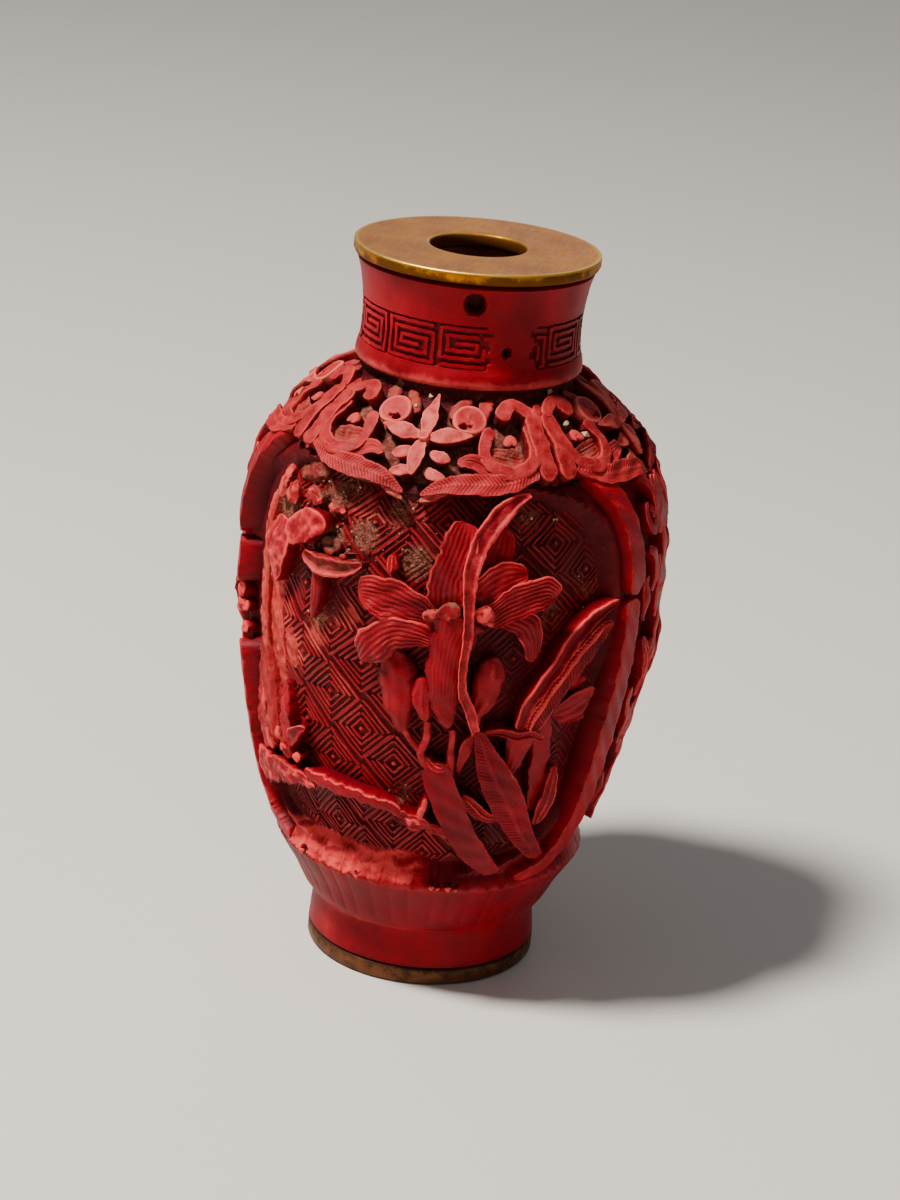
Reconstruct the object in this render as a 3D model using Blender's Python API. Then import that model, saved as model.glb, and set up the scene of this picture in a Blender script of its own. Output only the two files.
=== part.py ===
"""Small carved lacquer vase bottle with a brass mouth plate and a brass foot ring.

The bottle stands on its foot ring with its axis on Z and its front panel facing -Y. Lengths below are
millimetres and angles are degrees round the axis, measured from the front towards +X.
"""

import math

import bmesh
import bpy
import numpy as np

MM = 0.001

# Driving heights, from the table up
TOTAL_HEIGHT = 70.0
PLATE_THICKNESS = 1.15
FOOT_RING_HEIGHT = 1.7
PIECE_GAP = 0.3
LAPPET_BOTTOM = 6.2
LAPPET_TOP = 12.6
FRIEZE_BOTTOM = 51.4
FRIEZE_TOP = 58.6
COLLAR_BOTTOM = 59.2
COLLAR_TOP = 60.8

# Driving radii
PLATE_RADIUS = 11.35
HOLE_RADIUS = 4.4
FOOT_RING_RADIUS = 11.1
FOOT_RING_INNER = 9.2
FOOT_INNER = 8.8
COLLAR_RADIUS = 10.5
BODY_RADIUS = 20.2
NECK_BORE = 5.5

# Depths of the carving below the outermost surface
PANEL_DEPTH = 2.6
FRIEZE_DEPTH = 1.8
SIDE_DEPTH = 1.5
LAPPET_DEPTH = 0.35
LAPPETS = 48

# The two cartouches
PANEL_BOTTOM = 12.8
PANEL_TOP = 53.2
PANEL_HALF_ANGLE = 69.0
PANEL_STEP_HEIGHT = 40.5
PANEL_STEP_ANGLE = 3.0
RIM_ANGLE = 9.0

# Pin holes in the neck: angle, height, diameter
PIN_HOLES = ((14.0, 67.1, 1.8), (32.5, 62.6, 0.8))
PIN_DEPTH = 1.6

# Mesh density
AROUND = 288
TURNED_SEGMENTS = 64
BODY_TRIANGLES = 8000
SMOOTH_ANGLE = 32.0

NECK_TOP = TOTAL_HEIGHT - PLATE_THICKNESS - PIECE_GAP
FOOT_BOTTOM = FOOT_RING_HEIGHT + PIECE_GAP
FLOOR_UNDERSIDE = FOOT_BOTTOM + 1.3
FLOOR_TOP = LAPPET_BOTTOM

# Outermost turned profile, height then radius, from the foot to the neck
OUTER_PROFILE = (
    (FOOT_BOTTOM, 11.1),
    (3.6, 10.95),
    (5.4, 10.8),
    (LAPPET_BOTTOM - 0.3, 10.9),
    (LAPPET_BOTTOM, 11.6),
    (9.0, 13.2),
    (LAPPET_TOP, 15.3),
    (16.0, 16.6),
    (20.0, 17.7),
    (28.0, 19.2),
    (36.0, 20.2),
    (43.0, BODY_RADIUS),
    (48.0, 19.5),
    (FRIEZE_BOTTOM, 18.2),
    (55.0, 15.4),
    (57.5, 12.6),
    (FRIEZE_TOP, 10.9),
    (FRIEZE_TOP + 0.1, 9.7),
    (COLLAR_BOTTOM - 0.1, 9.7),
    (COLLAR_BOTTOM, COLLAR_RADIUS),
    (COLLAR_TOP, COLLAR_RADIUS),
    (COLLAR_TOP + 0.2, 10.1),
    (63.0, 10.1),
    (65.0, 10.2),
    (67.0, 10.5),
    (NECK_TOP, 10.95),
)

# Turned hollow, height then radius, from the mouth down to the floor
INNER_PROFILE = (
    (NECK_TOP, NECK_BORE),
    (60.0, NECK_BORE),
    (57.5, 6.6),
    (55.0, 9.6),
    (52.0, 12.4),
    (48.0, 14.8),
    (43.0, 15.7),
    (36.0, 15.7),
    (28.0, 14.8),
    (20.0, 13.3),
    (14.0, 11.3),
    (9.0, 8.6),
    (FLOOR_TOP + 0.6, 7.0),
    (FLOOR_TOP, 5.6),
)

# Carved strokes on the front panel. Each has a spine of (angle, height) points, the half widths along it,
# how far it stands off the ground, and how sharply it is ridged (0 round, 1 like a folded leaf).
FRONT_STROKES = (
    # Open lily: three upper petals, two curled ones, its throat and its tube
    (((10, 40.0), (3, 41.6), (-5, 42.0), (-12, 41.6)), (0.7, 1.5, 1.3, 0.5), 1.9, 0.4),
    (((11, 40.2), (12, 43.0), (14, 46.5), (17, 49.2)), (0.9, 1.7, 1.4, 0.5), 1.7, 0.4),
    (((21, 41.0), (28, 42.6), (36, 43.0), (44, 42.4)), (0.8, 1.8, 1.3, 0.4), 2.0, 0.4),
    (((10, 38.0), (1, 38.4), (-6, 37.2), (-8, 34.4)), (0.7, 1.3, 1.3, 0.5), 2.4, 0.3),
    (((24, 39.6), (33, 39.5), (38, 38.6), (38, 36.4)), (0.6, 0.8, 0.8, 0.3), 1.8, 0.3),
    (((8, 40.2), (15, 40.4), (23, 40.8)), (0.8, 1.0, 0.8), 1.6, 0.0),
    (((14.5, 39.0), (14.5, 35.0), (15.5, 31.5), (16.5, 29.8)), (1.6, 1.5, 1.1, 0.4), 2.3, 0.0),
    # Drooping petal and two closed buds
    (((-1, 35.4), (0, 32.0), (2, 28.6)), (1.2, 1.3, 0.6), 1.9, 0.0),
    (((7.5, 34.6), (8, 32.0), (9, 30.4)), (0.7, 0.9, 0.5), 1.8, 0.0),
    (((28, 36.2), (26.5, 33.8), (24, 31.0)), (0.8, 1.3, 0.4), 2.0, 0.0),
    # Stems
    (((9, 30.4), (9.8, 27.0), (11, 25.0)), (0.35, 0.35, 0.4), 1.6, 0.0),
    (((16.5, 29.8), (18, 27.0), (17.5, 24.6)), (0.35, 0.35, 0.4), 1.6, 0.0),
    (((22, 29.6), (24, 27.4), (20, 24.6)), (0.35, 0.35, 0.4), 1.4, 0.0),
    # Long leaf that crosses in front of the lily
    (
        ((24, 29.8), (19.5, 34.3), (19, 39.5), (22, 45.5), (28, 49.4), (36, 51.4)),
        (0.4, 0.6, 0.6, 0.8, 0.9, 0.3),
        2.6,
        0.7,
    ),
    # Twin leaves on the right
    (((36.5, 28.6), (38, 32.8), (44, 35.8), (52, 39.2), (65, 40.2)), (0.5, 0.7, 0.9, 0.8, 0.3), 2.5, 0.7),
    (((40, 28.6), (44.5, 32.6), (52, 36.0), (60, 38.4), (67, 38.8)), (0.5, 0.8, 1.0, 0.8, 0.3), 2.2, 0.7),
    # Small flared leaf, seen from its side
    (((39, 24.6), (38, 27.0), (37, 28.8)), (0.5, 1.2, 2.6), 1.9, 0.0),
    # Broad lower leaves
    (((23, 28.6), (29, 25.0), (37, 21.4), (47, 18.0), (59, 14.8)), (0.4, 1.3, 1.5, 1.3, 0.4), 2.5, 0.6),
    (((14, 25.6), (19, 22.4), (26, 18.6), (36, 15.0)), (1.4, 1.5, 1.6, 0.7), 2.2, 0.6),
    (((24, 22.4), (31, 20.4), (39, 19.2)), (0.4, 0.6, 0.4), 1.6, 0.6),
    # Short upright leaves and a bud low on the right
    (((51, 18.6), (53, 21.6), (56, 25.0)), (0.6, 1.0, 0.4), 1.8, 0.4),
    (((47, 20.0), (48.5, 23.6), (49, 27.2)), (0.5, 0.8, 0.4), 1.4, 0.4),
    (((55, 29.0), (60, 31.0), (64, 30.6)), (0.6, 1.1, 0.7), 1.5, 0.0),
    # Second blossom on the left
    (((-31, 43.2), (-22, 44.2), (-12, 44.6)), (0.6, 0.8, 0.3), 2.1, 0.4),
    (((-34, 44.8), (-27, 46.4), (-20, 47.8)), (0.9, 1.3, 0.4), 1.9, 0.4),
    (((-36, 45.0), (-42, 42.4), (-46, 39.4)), (0.8, 1.2, 0.5), 2.1, 0.4),
    (((-38, 46.0), (-45, 47.6), (-52, 47.6)), (0.9, 1.5, 0.6), 2.1, 0.4),
    (((-36, 47.0), (-38, 49.4), (-42, 51.0)), (0.8, 1.3, 0.5), 1.8, 0.4),
    (((-32, 43.0), (-31, 40.4), (-34, 37.6)), (0.4, 0.6, 0.9), 1.7, 0.0),
    (((-52, 42.0), (-54, 36.0), (-52, 30.0)), (1.0, 1.4, 0.8), 1.7, 0.4),
    # Stem and small flared leaf under it
    (((-36, 37.0), (-46, 31.0), (-42, 25.0), (-34, 22.4)), (0.4, 0.6, 0.6, 0.5), 1.5, 0.0),
    (((-31, 23.0), (-26, 24.8), (-20, 26.2)), (0.5, 1.1, 1.2), 1.9, 0.0),
    # Rock ledge along the ground
    (
        ((-62, 17.8), (-48, 19.2), (-34, 20.8), (-19, 21.4), (-6, 21.2), (2, 20.8)),
        (1.3, 1.0, 0.7, 0.6, 0.5, 0.5),
        2.3,
        0.0,
    ),
    (((2, 20.8), (5, 18.8), (12, 18.4), (21, 17.6)), (0.5, 0.9, 0.8, 0.5), 2.3, 0.0),
)

# The plainer spray on the back panel, in the same form, measured from the middle of the back
BACK_STROKES = (
    (((0, 39.0), (-8, 41.6), (-17, 41.4)), (0.8, 1.6, 0.5), 2.0, 0.4),
    (((0, 39.4), (-3, 43.6), (-4, 47.6)), (0.8, 1.6, 0.5), 2.0, 0.4),
    (((2, 39.4), (10, 43.0), (18, 44.2)), (0.8, 1.6, 0.5), 2.0, 0.4),
    (((3, 38.4), (11, 38.0), (17, 35.4)), (0.8, 1.5, 0.5), 2.0, 0.4),
    (((0, 38.0), (-7, 36.6), (-11, 33.4)), (0.8, 1.5, 0.5), 2.0, 0.4),
    (((2, 38.0), (3, 30.0), (-2, 23.0), (-8, 18.0)), (1.1, 0.5, 0.5, 0.6), 1.7, 0.0),
    (((-8, 18.0), (-20, 25.0), (-30, 34.0), (-33, 42.0)), (0.5, 1.3, 1.3, 0.4), 2.3, 0.6),
    (((-6, 18.0), (10, 22.0), (25, 29.0), (40, 31.0)), (0.5, 1.3, 1.4, 0.4), 2.3, 0.6),
    (((-4, 17.0), (16, 18.0), (34, 22.0), (48, 21.0)), (0.5, 1.2, 1.2, 0.4), 2.0, 0.6),
    (((-10, 17.0), (-26, 19.0), (-42, 26.0), (-52, 33.0)), (0.5, 1.3, 1.2, 0.4), 2.1, 0.6),
    (((28, 36.0), (34, 39.6), (42, 41.0)), (0.6, 1.3, 0.6), 1.8, 0.0),
    (((-56, 17.6), (-30, 16.4), (0, 16.8), (30, 16.2), (56, 17.8)), (1.1, 0.9, 0.7, 0.9, 1.1), 2.1, 0.0),
)

# One eighth of the shoulder frieze, measured from a flower's middle to the twin scrolls at 45 degrees.
# It is mirrored and repeated four times round.
FRIEZE_STROKES = (
    # Flower: upright, sideways and hanging petals
    (((0, 55.6), (0, 58.2)), (0.5, 0.9), 1.0, 0.0),
    (((0, 55.4), (7, 55.9), (15, 56.1)), (0.5, 0.9, 0.3), 1.0, 0.0),
    (((0, 55.2), (4, 54.2), (9, 53.6)), (0.5, 0.9, 0.4), 1.0, 0.0),
    (((0, 55.0), (0, 53.0)), (0.5, 0.8), 1.0, 0.0),
    (((0, 52.4), (5, 52.4), (8, 53.0)), (0.8, 0.7, 0.3), 0.8, 0.0),
    # Round rosettes beside the flower
    (((11, 57.4), (18, 57.8)), (0.8, 1.0), 0.9, 0.0),
    # Hooked scroll that runs out of the twin scrolls
    (((40, 53.8), (38, 57.0), (31, 57.8), (25, 56.6), (28, 55.2)), (1.0, 1.0, 0.8, 0.7, 0.6), 1.0, 0.0),
    (((43, 52.8), (42, 55.4), (41, 57.8)), (0.9, 1.0, 0.9), 1.0, 0.0),
    # Serrated leaf along the lower edge
    (((6, 51.9), (16, 52.8), (27, 53.8), (37, 54.6)), (0.5, 1.2, 1.2, 0.6), 0.9, 0.6),
    (((14, 54.6), (22, 55.2), (30, 55.0)), (0.6, 0.9, 0.5), 0.8, 0.0),
)

# Half of a side band, mirrored about its middle: scrolls that climb it
SIDE_STROKES = (
    (((0, 15.0), (0, 52.0)), (0.7, 0.7), 1.0, 0.0),
    (((0, 22.0), (8, 24.5), (8, 29.0), (3, 29.5), (4, 26.8)), (0.6, 0.7, 0.7, 0.6, 0.5), 1.0, 0.0),
    (((0, 32.0), (8, 34.0), (9, 38.5), (4, 39.5), (4, 36.8)), (0.6, 0.7, 0.7, 0.6, 0.5), 1.0, 0.0),
    (((0, 42.0), (8, 44.0), (9, 48.0), (4, 49.0), (4, 46.6)), (0.6, 0.7, 0.7, 0.6, 0.5), 1.0, 0.0),
    (((0, 20.0), (7, 18.0)), (0.7, 0.4), 1.0, 0.0),
)


def clear_scene():
    for obj in list(bpy.data.objects):
        bpy.data.objects.remove(obj, do_unlink=True)


def material(name, colour, roughness, metallic):
    made = bpy.data.materials.new(name)
    made.use_nodes = True
    shader = made.node_tree.nodes["Principled BSDF"]
    shader.inputs["Base Color"].default_value = (*colour, 1.0)
    shader.inputs["Roughness"].default_value = roughness
    shader.inputs["Metallic"].default_value = metallic
    made.diffuse_color = (*colour, 1.0)
    return made


def smooth_step(low, high, value):
    t = np.clip((value - low) / (high - low), 0.0, 1.0)
    return t * t * (3.0 - 2.0 * t)


def profile_radius(profile, heights):
    """Radius at each height, by a cubic that never overshoots the profile's own points."""
    z, r = np.array(sorted(profile)).T
    step = np.diff(z)
    slope = np.diff(r) / step
    tangent = np.zeros_like(z)
    same_way = slope[:-1] * slope[1:] > 0
    weighted = 3 * (step[:-1] + step[1:])
    below = (2 * step[1:] + step[:-1]) / np.where(same_way, slope[:-1], 1.0)
    above = (step[1:] + 2 * step[:-1]) / np.where(same_way, slope[1:], 1.0)
    tangent[1:-1] = np.where(same_way, weighted / (below + above), 0.0)
    tangent[0], tangent[-1] = slope[0], slope[-1]
    cell = np.clip(np.searchsorted(z, heights, side="right") - 1, 0, len(z) - 2)
    t = np.clip((heights - z[cell]) / step[cell], 0.0, 1.0)
    start = (1 + 2 * t) * (1 - t) ** 2 * r[cell] + t * (1 - t) ** 2 * step[cell] * tangent[cell]
    end = t * t * (3 - 2 * t) * r[cell + 1] + t * t * (t - 1) * step[cell] * tangent[cell + 1]
    return start + end


def curve_through(points, steps=7):
    """Points along a smooth curve through the given ones (Catmull-Rom)."""
    values = np.array(points, float)
    padded = np.vstack([2 * values[0] - values[1], values, 2 * values[-1] - values[-2]])
    t = np.linspace(0.0, 1.0, steps, endpoint=False)[:, None]
    spans = []
    for a, b, c, d in zip(padded, padded[1:], padded[2:], padded[3:]):
        square = (2 * a - 5 * b + 4 * c - d) * t**2
        cube = (3 * b - a - 3 * c + d) * t**3
        spans.append(0.5 * (2 * b + (c - a) * t + square + cube))
    return np.vstack(spans + [values[-1:]])


def stroke_heights(strokes, angle, height, around_mm, slant=1.0):
    """How far the strokes stand off the ground at each place. around_mm is the length of one degree."""
    raised = np.zeros(np.broadcast(angle, height).shape)
    for points, widths, lift, ridge in strokes:
        line = curve_through([(a, z, w) for (a, z), w in zip(points, widths)])
        reach = max(widths) + 0.4
        reach_angle = reach / around_mm.min()
        near = (angle > line[:, 0].min() - reach_angle) & (angle < line[:, 0].max() + reach_angle)
        near &= (height > line[:, 1].min() - reach) & (height < line[:, 1].max() + reach)
        if not near.any():
            continue
        x, z, scale = angle[near], height[near], around_mm[near]
        best = np.zeros(x.shape)
        for (a0, z0, w0), (a1, z1, w1) in zip(line, line[1:]):
            run_x, run_z = (a1 - a0) * scale, (z1 - z0) * slant
            off_x, off_z = (x - a0) * scale, (z - z0) * slant
            length = np.maximum(run_x**2 + run_z**2, 1e-9)
            t = np.clip((off_x * run_x + off_z * run_z) / length, 0.0, 1.0)
            distance = np.hypot(off_x - t * run_x, off_z - t * run_z)
            across = np.clip(distance / (w0 + t * (w1 - w0)), 0.0, 1.6)
            crown = np.sqrt(np.clip(1.0 - 0.45 * across**2, 0.0, 1.0))
            folded = 1.0 - 0.42 * across
            wall = 1.0 - smooth_step(0.85, 1.25, across)
            best = np.maximum(best, lift * wall * ((1 - ridge) * crown + ridge * folded))
        raised[near] = np.maximum(raised[near], best)
    return raised


def wrapped(angle, period=360.0):
    """Angle brought to within half a period of zero."""
    return (angle + period / 2) % period - period / 2


def panel_edge(height):
    """Half the panel's width in degrees at each height; zero above and below it."""
    middle = (PANEL_TOP + PANEL_BOTTOM) / 2
    t = np.clip((height - middle) / (PANEL_TOP - middle), -1.0, 1.0)
    rounded = np.sqrt(np.clip(1.0 - np.abs(t) ** np.where(t > 0, 9.0, 6.0), 0.0, 1.0))
    stepped = PANEL_STEP_ANGLE * smooth_step(PANEL_STEP_HEIGHT - 0.3, PANEL_STEP_HEIGHT + 0.3, height)
    return (PANEL_HALF_ANGLE - stepped) * rounded


def carving_depth(angle, height):
    """Depth of the carved surface below the outermost profile."""
    outer = profile_radius(OUTER_PROFILE, height)
    around_mm = np.radians(1.0) * outer
    front = wrapped(angle)
    back = wrapped(angle - 180.0)
    from_panel = np.minimum(np.abs(front), np.abs(back))

    # Panels with their raised rims, and the lower ground of the side bands beyond the rims
    edge = panel_edge(height)
    below_neck = height < FRIEZE_TOP
    in_panel = below_neck * (1.0 - smooth_step(-1.6, 1.6, from_panel - edge))
    in_panel *= smooth_step(PANEL_BOTTOM, PANEL_BOTTOM + 1.0, height)
    in_side = below_neck * smooth_step(-1.2, 1.2, from_panel - edge - RIM_ANGLE)
    in_side *= smooth_step(LAPPET_TOP + 1.8, LAPPET_TOP + 2.6, height)
    flowers = stroke_heights(FRONT_STROKES, front, height, around_mm)
    spray = stroke_heights(BACK_STROKES, back, height, around_mm)
    side = 90.0 - from_panel
    scrolls = stroke_heights(SIDE_STROKES, side, height, around_mm)
    depth = in_panel * np.maximum(PANEL_DEPTH - flowers - spray, 0.0)
    depth = np.maximum(depth, in_side * SIDE_DEPTH * (1.0 - np.clip(scrolls, 0.0, 1.0)))

    # Shoulder frieze, which overhangs the panels along a scalloped edge
    eighth = np.abs(wrapped(angle, 90.0))
    scallop = FRIEZE_BOTTOM + 2.0 * np.sin(np.radians(eighth) * 2.6) ** 2
    in_frieze = smooth_step(scallop - 0.5, scallop, height)
    in_frieze *= 1.0 - smooth_step(FRIEZE_TOP - 0.3, FRIEZE_TOP, height)
    ornament = stroke_heights(FRIEZE_STROKES, eighth, height, around_mm, slant=1.4)
    frieze = FRIEZE_DEPTH * (1.0 - np.clip(ornament, 0.0, 1.0))
    depth = depth * (1.0 - in_frieze) + frieze * in_frieze

    # Upright lappets under the panels
    in_lappets = smooth_step(LAPPET_BOTTOM, LAPPET_BOTTOM + 0.4, height)
    in_lappets *= 1.0 - smooth_step(LAPPET_TOP - 0.8, LAPPET_TOP, height)
    groove = 0.5 + 0.5 * np.cos(np.radians(angle) * LAPPETS)
    return depth + LAPPET_DEPTH * groove**2 * in_lappets


def outer_heights():
    """Heights of the rows of the outer surface, close together where the carving needs them."""
    spans = (
        (FOOT_BOTTOM, LAPPET_BOTTOM - 0.3, 5),
        (LAPPET_BOTTOM, LAPPET_TOP, 14),
        (LAPPET_TOP + 0.3, FRIEZE_BOTTOM - 0.4, 104),
        (FRIEZE_BOTTOM, FRIEZE_TOP, 30),
        (FRIEZE_TOP + 0.1, COLLAR_BOTTOM - 0.1, 2),
        (COLLAR_BOTTOM, COLLAR_TOP, 3),
        (COLLAR_TOP + 0.2, NECK_TOP, 12),
    )
    return np.concatenate([np.linspace(low, high, count) for low, high, count in spans])


def revolved_rows(bm, rows):
    """Joins closed rings of points, first row to last, with quads. A row of one point is a pole."""
    made = [[bm.verts.new(point) for point in row] for row in rows]
    for lower, upper in zip(made, made[1:]):
        count = max(len(lower), len(upper))
        for i in range(count):
            j = (i + 1) % count
            if len(lower) == 1:
                bm.faces.new((lower[0], upper[j], upper[i]))
            elif len(upper) == 1:
                bm.faces.new((lower[i], lower[j], upper[0]))
            else:
                bm.faces.new((lower[i], lower[j], upper[j], upper[i]))


def ring(radius, height, angles):
    """Points at this radius (one value or one each) and height; angle 0 faces -Y."""
    turn = np.radians(angles)
    radius = np.broadcast_to(radius, angles.shape)
    return [(r * math.sin(a) * MM, -r * math.cos(a) * MM, height * MM) for r, a in zip(radius, turn)]


def object_from(name, bm, finish):
    bmesh.ops.recalc_face_normals(bm, faces=bm.faces)
    mesh = bpy.data.meshes.new(name)
    bm.to_mesh(mesh)
    bm.free()
    mesh.materials.append(finish)
    mesh.shade_smooth()
    mesh.set_sharp_from_angle(angle=math.radians(SMOOTH_ANGLE))
    obj = bpy.data.objects.new(name, mesh)
    bpy.context.scene.collection.objects.link(obj)
    return obj


def pin_hole_cutter(number, angle, height, diameter):
    """A peg set radially into the neck wall."""
    wall = float(profile_radius(OUTER_PROFILE, np.array(height)))
    bm = bmesh.new()
    radius = diameter / 2 * MM
    bmesh.ops.create_cone(
        bm, cap_ends=True, segments=20, radius1=radius, radius2=radius, depth=2 * PIN_DEPTH * MM
    )
    mesh = bpy.data.meshes.new(f"pin_hole_cutter_{number}")
    bm.to_mesh(mesh)
    bm.free()
    cutter = bpy.data.objects.new(mesh.name, mesh)
    bpy.context.scene.collection.objects.link(cutter)
    turn = math.radians(angle)
    cutter.location = (wall * math.sin(turn) * MM, -wall * math.cos(turn) * MM, height * MM)
    cutter.rotation_euler = (math.pi / 2, 0.0, turn)
    cutter.hide_render = True
    cutter.display_type = "WIRE"
    return cutter


def lacquer_bottle(finish):
    """The hollow carved vase: underside, outer wall, lip and inner wall in one closed surface."""
    angles = np.arange(AROUND) * 360.0 / AROUND
    heights = outer_heights()
    grid_angle, grid_height = np.meshgrid(angles, heights)
    radii = profile_radius(OUTER_PROFILE, grid_height) - carving_depth(grid_angle, grid_height)
    rows = [[(0.0, 0.0, FLOOR_UNDERSIDE * MM)]]
    rows.append(ring(FOOT_INNER - 0.4, FLOOR_UNDERSIDE, angles))
    rows.append(ring(FOOT_INNER, FOOT_BOTTOM, angles))
    rows += [ring(radius, height, angles) for radius, height in zip(radii, heights)]
    inner_heights = np.linspace(NECK_TOP, FLOOR_TOP, 26)
    inner_radii = profile_radius(INNER_PROFILE, inner_heights)
    rows += [ring(radius, height, angles) for radius, height in zip(inner_radii, inner_heights)]
    rows.append([(0.0, 0.0, FLOOR_TOP * MM)])
    bm = bmesh.new()
    revolved_rows(bm, rows)
    triangles = 2 * AROUND * (len(rows) - 2)
    bottle = object_from("lacquer_bottle", bm, finish)
    thinned = bottle.modifiers.new("fewer_faces", "DECIMATE")
    thinned.ratio = BODY_TRIANGLES / triangles
    for number, (angle, height, diameter) in enumerate(PIN_HOLES, 1):
        cut = bottle.modifiers.new(f"pin_hole_{number}", "BOOLEAN")
        cut.object = pin_hole_cutter(number, angle, height, diameter)
        cut.operation = "DIFFERENCE"
        cut.solver = "EXACT"
    return bottle


def turned_ring(name, section, finish):
    """A closed section of (radius, height) points turned round the axis."""
    angles = np.arange(TURNED_SEGMENTS) * 360.0 / TURNED_SEGMENTS
    bm = bmesh.new()
    revolved_rows(bm, [ring(radius, height, angles) for radius, height in (*section, section[0])])
    bmesh.ops.remove_doubles(bm, verts=bm.verts, dist=0.0001 * MM)
    return object_from(name, bm, finish)


def brass_mouth_plate(finish):
    """Flat disc with eased edges and a rounded hole."""
    low, high = TOTAL_HEIGHT - PLATE_THICKNESS, TOTAL_HEIGHT
    section = (
        (HOLE_RADIUS, low),
        (PLATE_RADIUS - 0.15, low),
        (PLATE_RADIUS, low + 0.15),
        (PLATE_RADIUS, high - 0.2),
        (PLATE_RADIUS - 0.2, high),
        (HOLE_RADIUS + 0.35, high),
        (HOLE_RADIUS + 0.1, high - 0.12),
        (HOLE_RADIUS, high - 0.4),
    )
    return turned_ring("brass_mouth_plate", section, finish)


def brass_foot_ring(finish):
    """Low ring that the bottle stands on, with a rounded outer edge."""
    section = (
        (FOOT_RING_INNER, 0.0),
        (FOOT_RING_RADIUS - 0.55, 0.0),
        (FOOT_RING_RADIUS - 0.2, 0.35),
        (FOOT_RING_RADIUS, 1.0),
        (FOOT_RING_RADIUS, FOOT_RING_HEIGHT),
        (FOOT_RING_INNER, FOOT_RING_HEIGHT),
    )
    return turned_ring("brass_foot_ring", section, finish)


def main():
    clear_scene()
    lacquer = material("red_lacquer", (0.216, 0.012, 0.016), 0.42, 0.0)
    brass = material("mouth_brass", (0.485, 0.195, 0.058), 0.32, 1.0)
    foot_brass = material("foot_brass", (0.120, 0.058, 0.030), 0.55, 1.0)
    lacquer_bottle(lacquer)
    brass_mouth_plate(brass)
    brass_foot_ring(foot_brass)


main()
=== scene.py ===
import math

import bpy
import numpy as np
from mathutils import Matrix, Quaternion, Vector, noise


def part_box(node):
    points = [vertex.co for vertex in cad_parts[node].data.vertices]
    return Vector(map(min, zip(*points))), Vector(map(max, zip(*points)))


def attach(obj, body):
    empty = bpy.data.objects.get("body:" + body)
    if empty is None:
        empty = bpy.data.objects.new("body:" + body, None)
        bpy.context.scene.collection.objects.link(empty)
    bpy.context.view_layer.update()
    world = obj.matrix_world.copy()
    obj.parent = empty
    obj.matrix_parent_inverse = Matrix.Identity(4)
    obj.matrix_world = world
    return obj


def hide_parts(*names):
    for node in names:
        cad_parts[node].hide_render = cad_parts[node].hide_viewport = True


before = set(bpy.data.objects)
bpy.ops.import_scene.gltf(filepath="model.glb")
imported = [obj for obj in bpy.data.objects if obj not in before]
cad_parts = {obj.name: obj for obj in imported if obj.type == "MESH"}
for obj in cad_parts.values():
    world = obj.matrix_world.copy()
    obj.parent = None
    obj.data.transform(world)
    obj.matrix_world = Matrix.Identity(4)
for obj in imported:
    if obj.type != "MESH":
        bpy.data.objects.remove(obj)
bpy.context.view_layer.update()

print("frame loaded")

# The drawing is in millimetres and degrees. Angle 0 is the middle of the front, and angles grow towards +X.
bottle = {
    "drawnHeight": 70.0,
    "frontFrom": -76.0,      # the finely meshed part of the turn, degrees
    "frontTo": 76.0,
    "frontStep": 0.6,
    "backStep": 1.4,
    "panelMiddle": 33.0,     # of the two panels: height, half height, and half width in degrees
    "panelReach": 20.6,
    "panelHalfTurn": 68.0,
    "panelDepth": 2.6,       # how far the carver cut back, below the outermost skin
    "sideDepth": 1.3,
    "wallClimb": 1.5,
    "friezeDepth": 1.8,
    "fretDepth": 0.27,
    "fretFrom": 60.92,       # the band cut down for the fret on the neck
    "fretTo": 64.96,
    "plainFrom": 20.5,       # and where along it the carver left the neck plain, degrees
    "plainTo": 46.5,
    "lappets": 48,
    "lappetDepth": 0.07,
    "lappetBottom": 6.5,
    "lappetTop": 12.0,
    "friezeBottom": 51.6,
    "friezeGrime": 0.58,
    "ledgeFrom": 11.6,       # heights where the finish changes
    "groundFrom": 14.4,
    "backFrom": 105.0,       # what is special to the front's right or left fades out here, degrees
    "backTo": 150.0,
    "bore": 5.5,
    "pinHoles": ((14.0, 67.0, 0.95, 1.5), (32.5, 62.55, 0.42, 1.2)),   # angle, height, radius, depth
}
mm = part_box("brass_mouth_plate")[1].z / bottle["drawnHeight"]
bodyLow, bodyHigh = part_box("lacquer_bottle")
footBottom = bodyLow.z / mm - 0.2
neckTop = bodyHigh.z / mm

# Outermost skin, height then radius
skin = np.array((
    (5.9, 11.2), (6.2, 11.6), (9.0, 13.2), (12.6, 15.3), (16.0, 16.6), (20.0, 17.7), (28.0, 19.2),
    (36.0, 20.2), (43.0, 20.2), (48.0, 19.5), (51.4, 18.2), (55.0, 15.4), (57.5, 12.6), (58.6, 10.9),
    (59.4, 9.6)))
neck = np.array((
    (59.1, 9.7), (59.2, 10.4), (59.5, 10.55), (60.3, 10.45), (61.0, 10.25), (63.0, 10.12), (65.0, 10.22),
    (67.0, 10.52), (neckTop, 10.95)))
foot = np.array(((footBottom, 11.1), (3.6, 10.95), (5.3, 10.82), (5.9, 10.9)))
bore = np.array((
    (neckTop, bottle["bore"]), (60.0, bottle["bore"]), (57.5, 6.6), (55.0, 9.6), (52.0, 12.4), (48.0, 14.8),
    (43.0, 15.7), (36.0, 15.7), (28.0, 14.8), (20.0, 13.3), (14.0, 11.3), (9.0, 8.6), (6.8, 7.0), (6.2, 5.6)))


def smooth(low, high, value):
    t = np.clip((value - low) / (high - low), 0.0, 1.0)
    return t * t * (3.0 - 2.0 * t)


def band(low, lowEnd, high, highEnd, value):
    # rises from low to lowEnd and falls away from high to highEnd
    return smooth(low, lowEnd, value) * (1.0 - smooth(high, highEnd, value))


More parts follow.
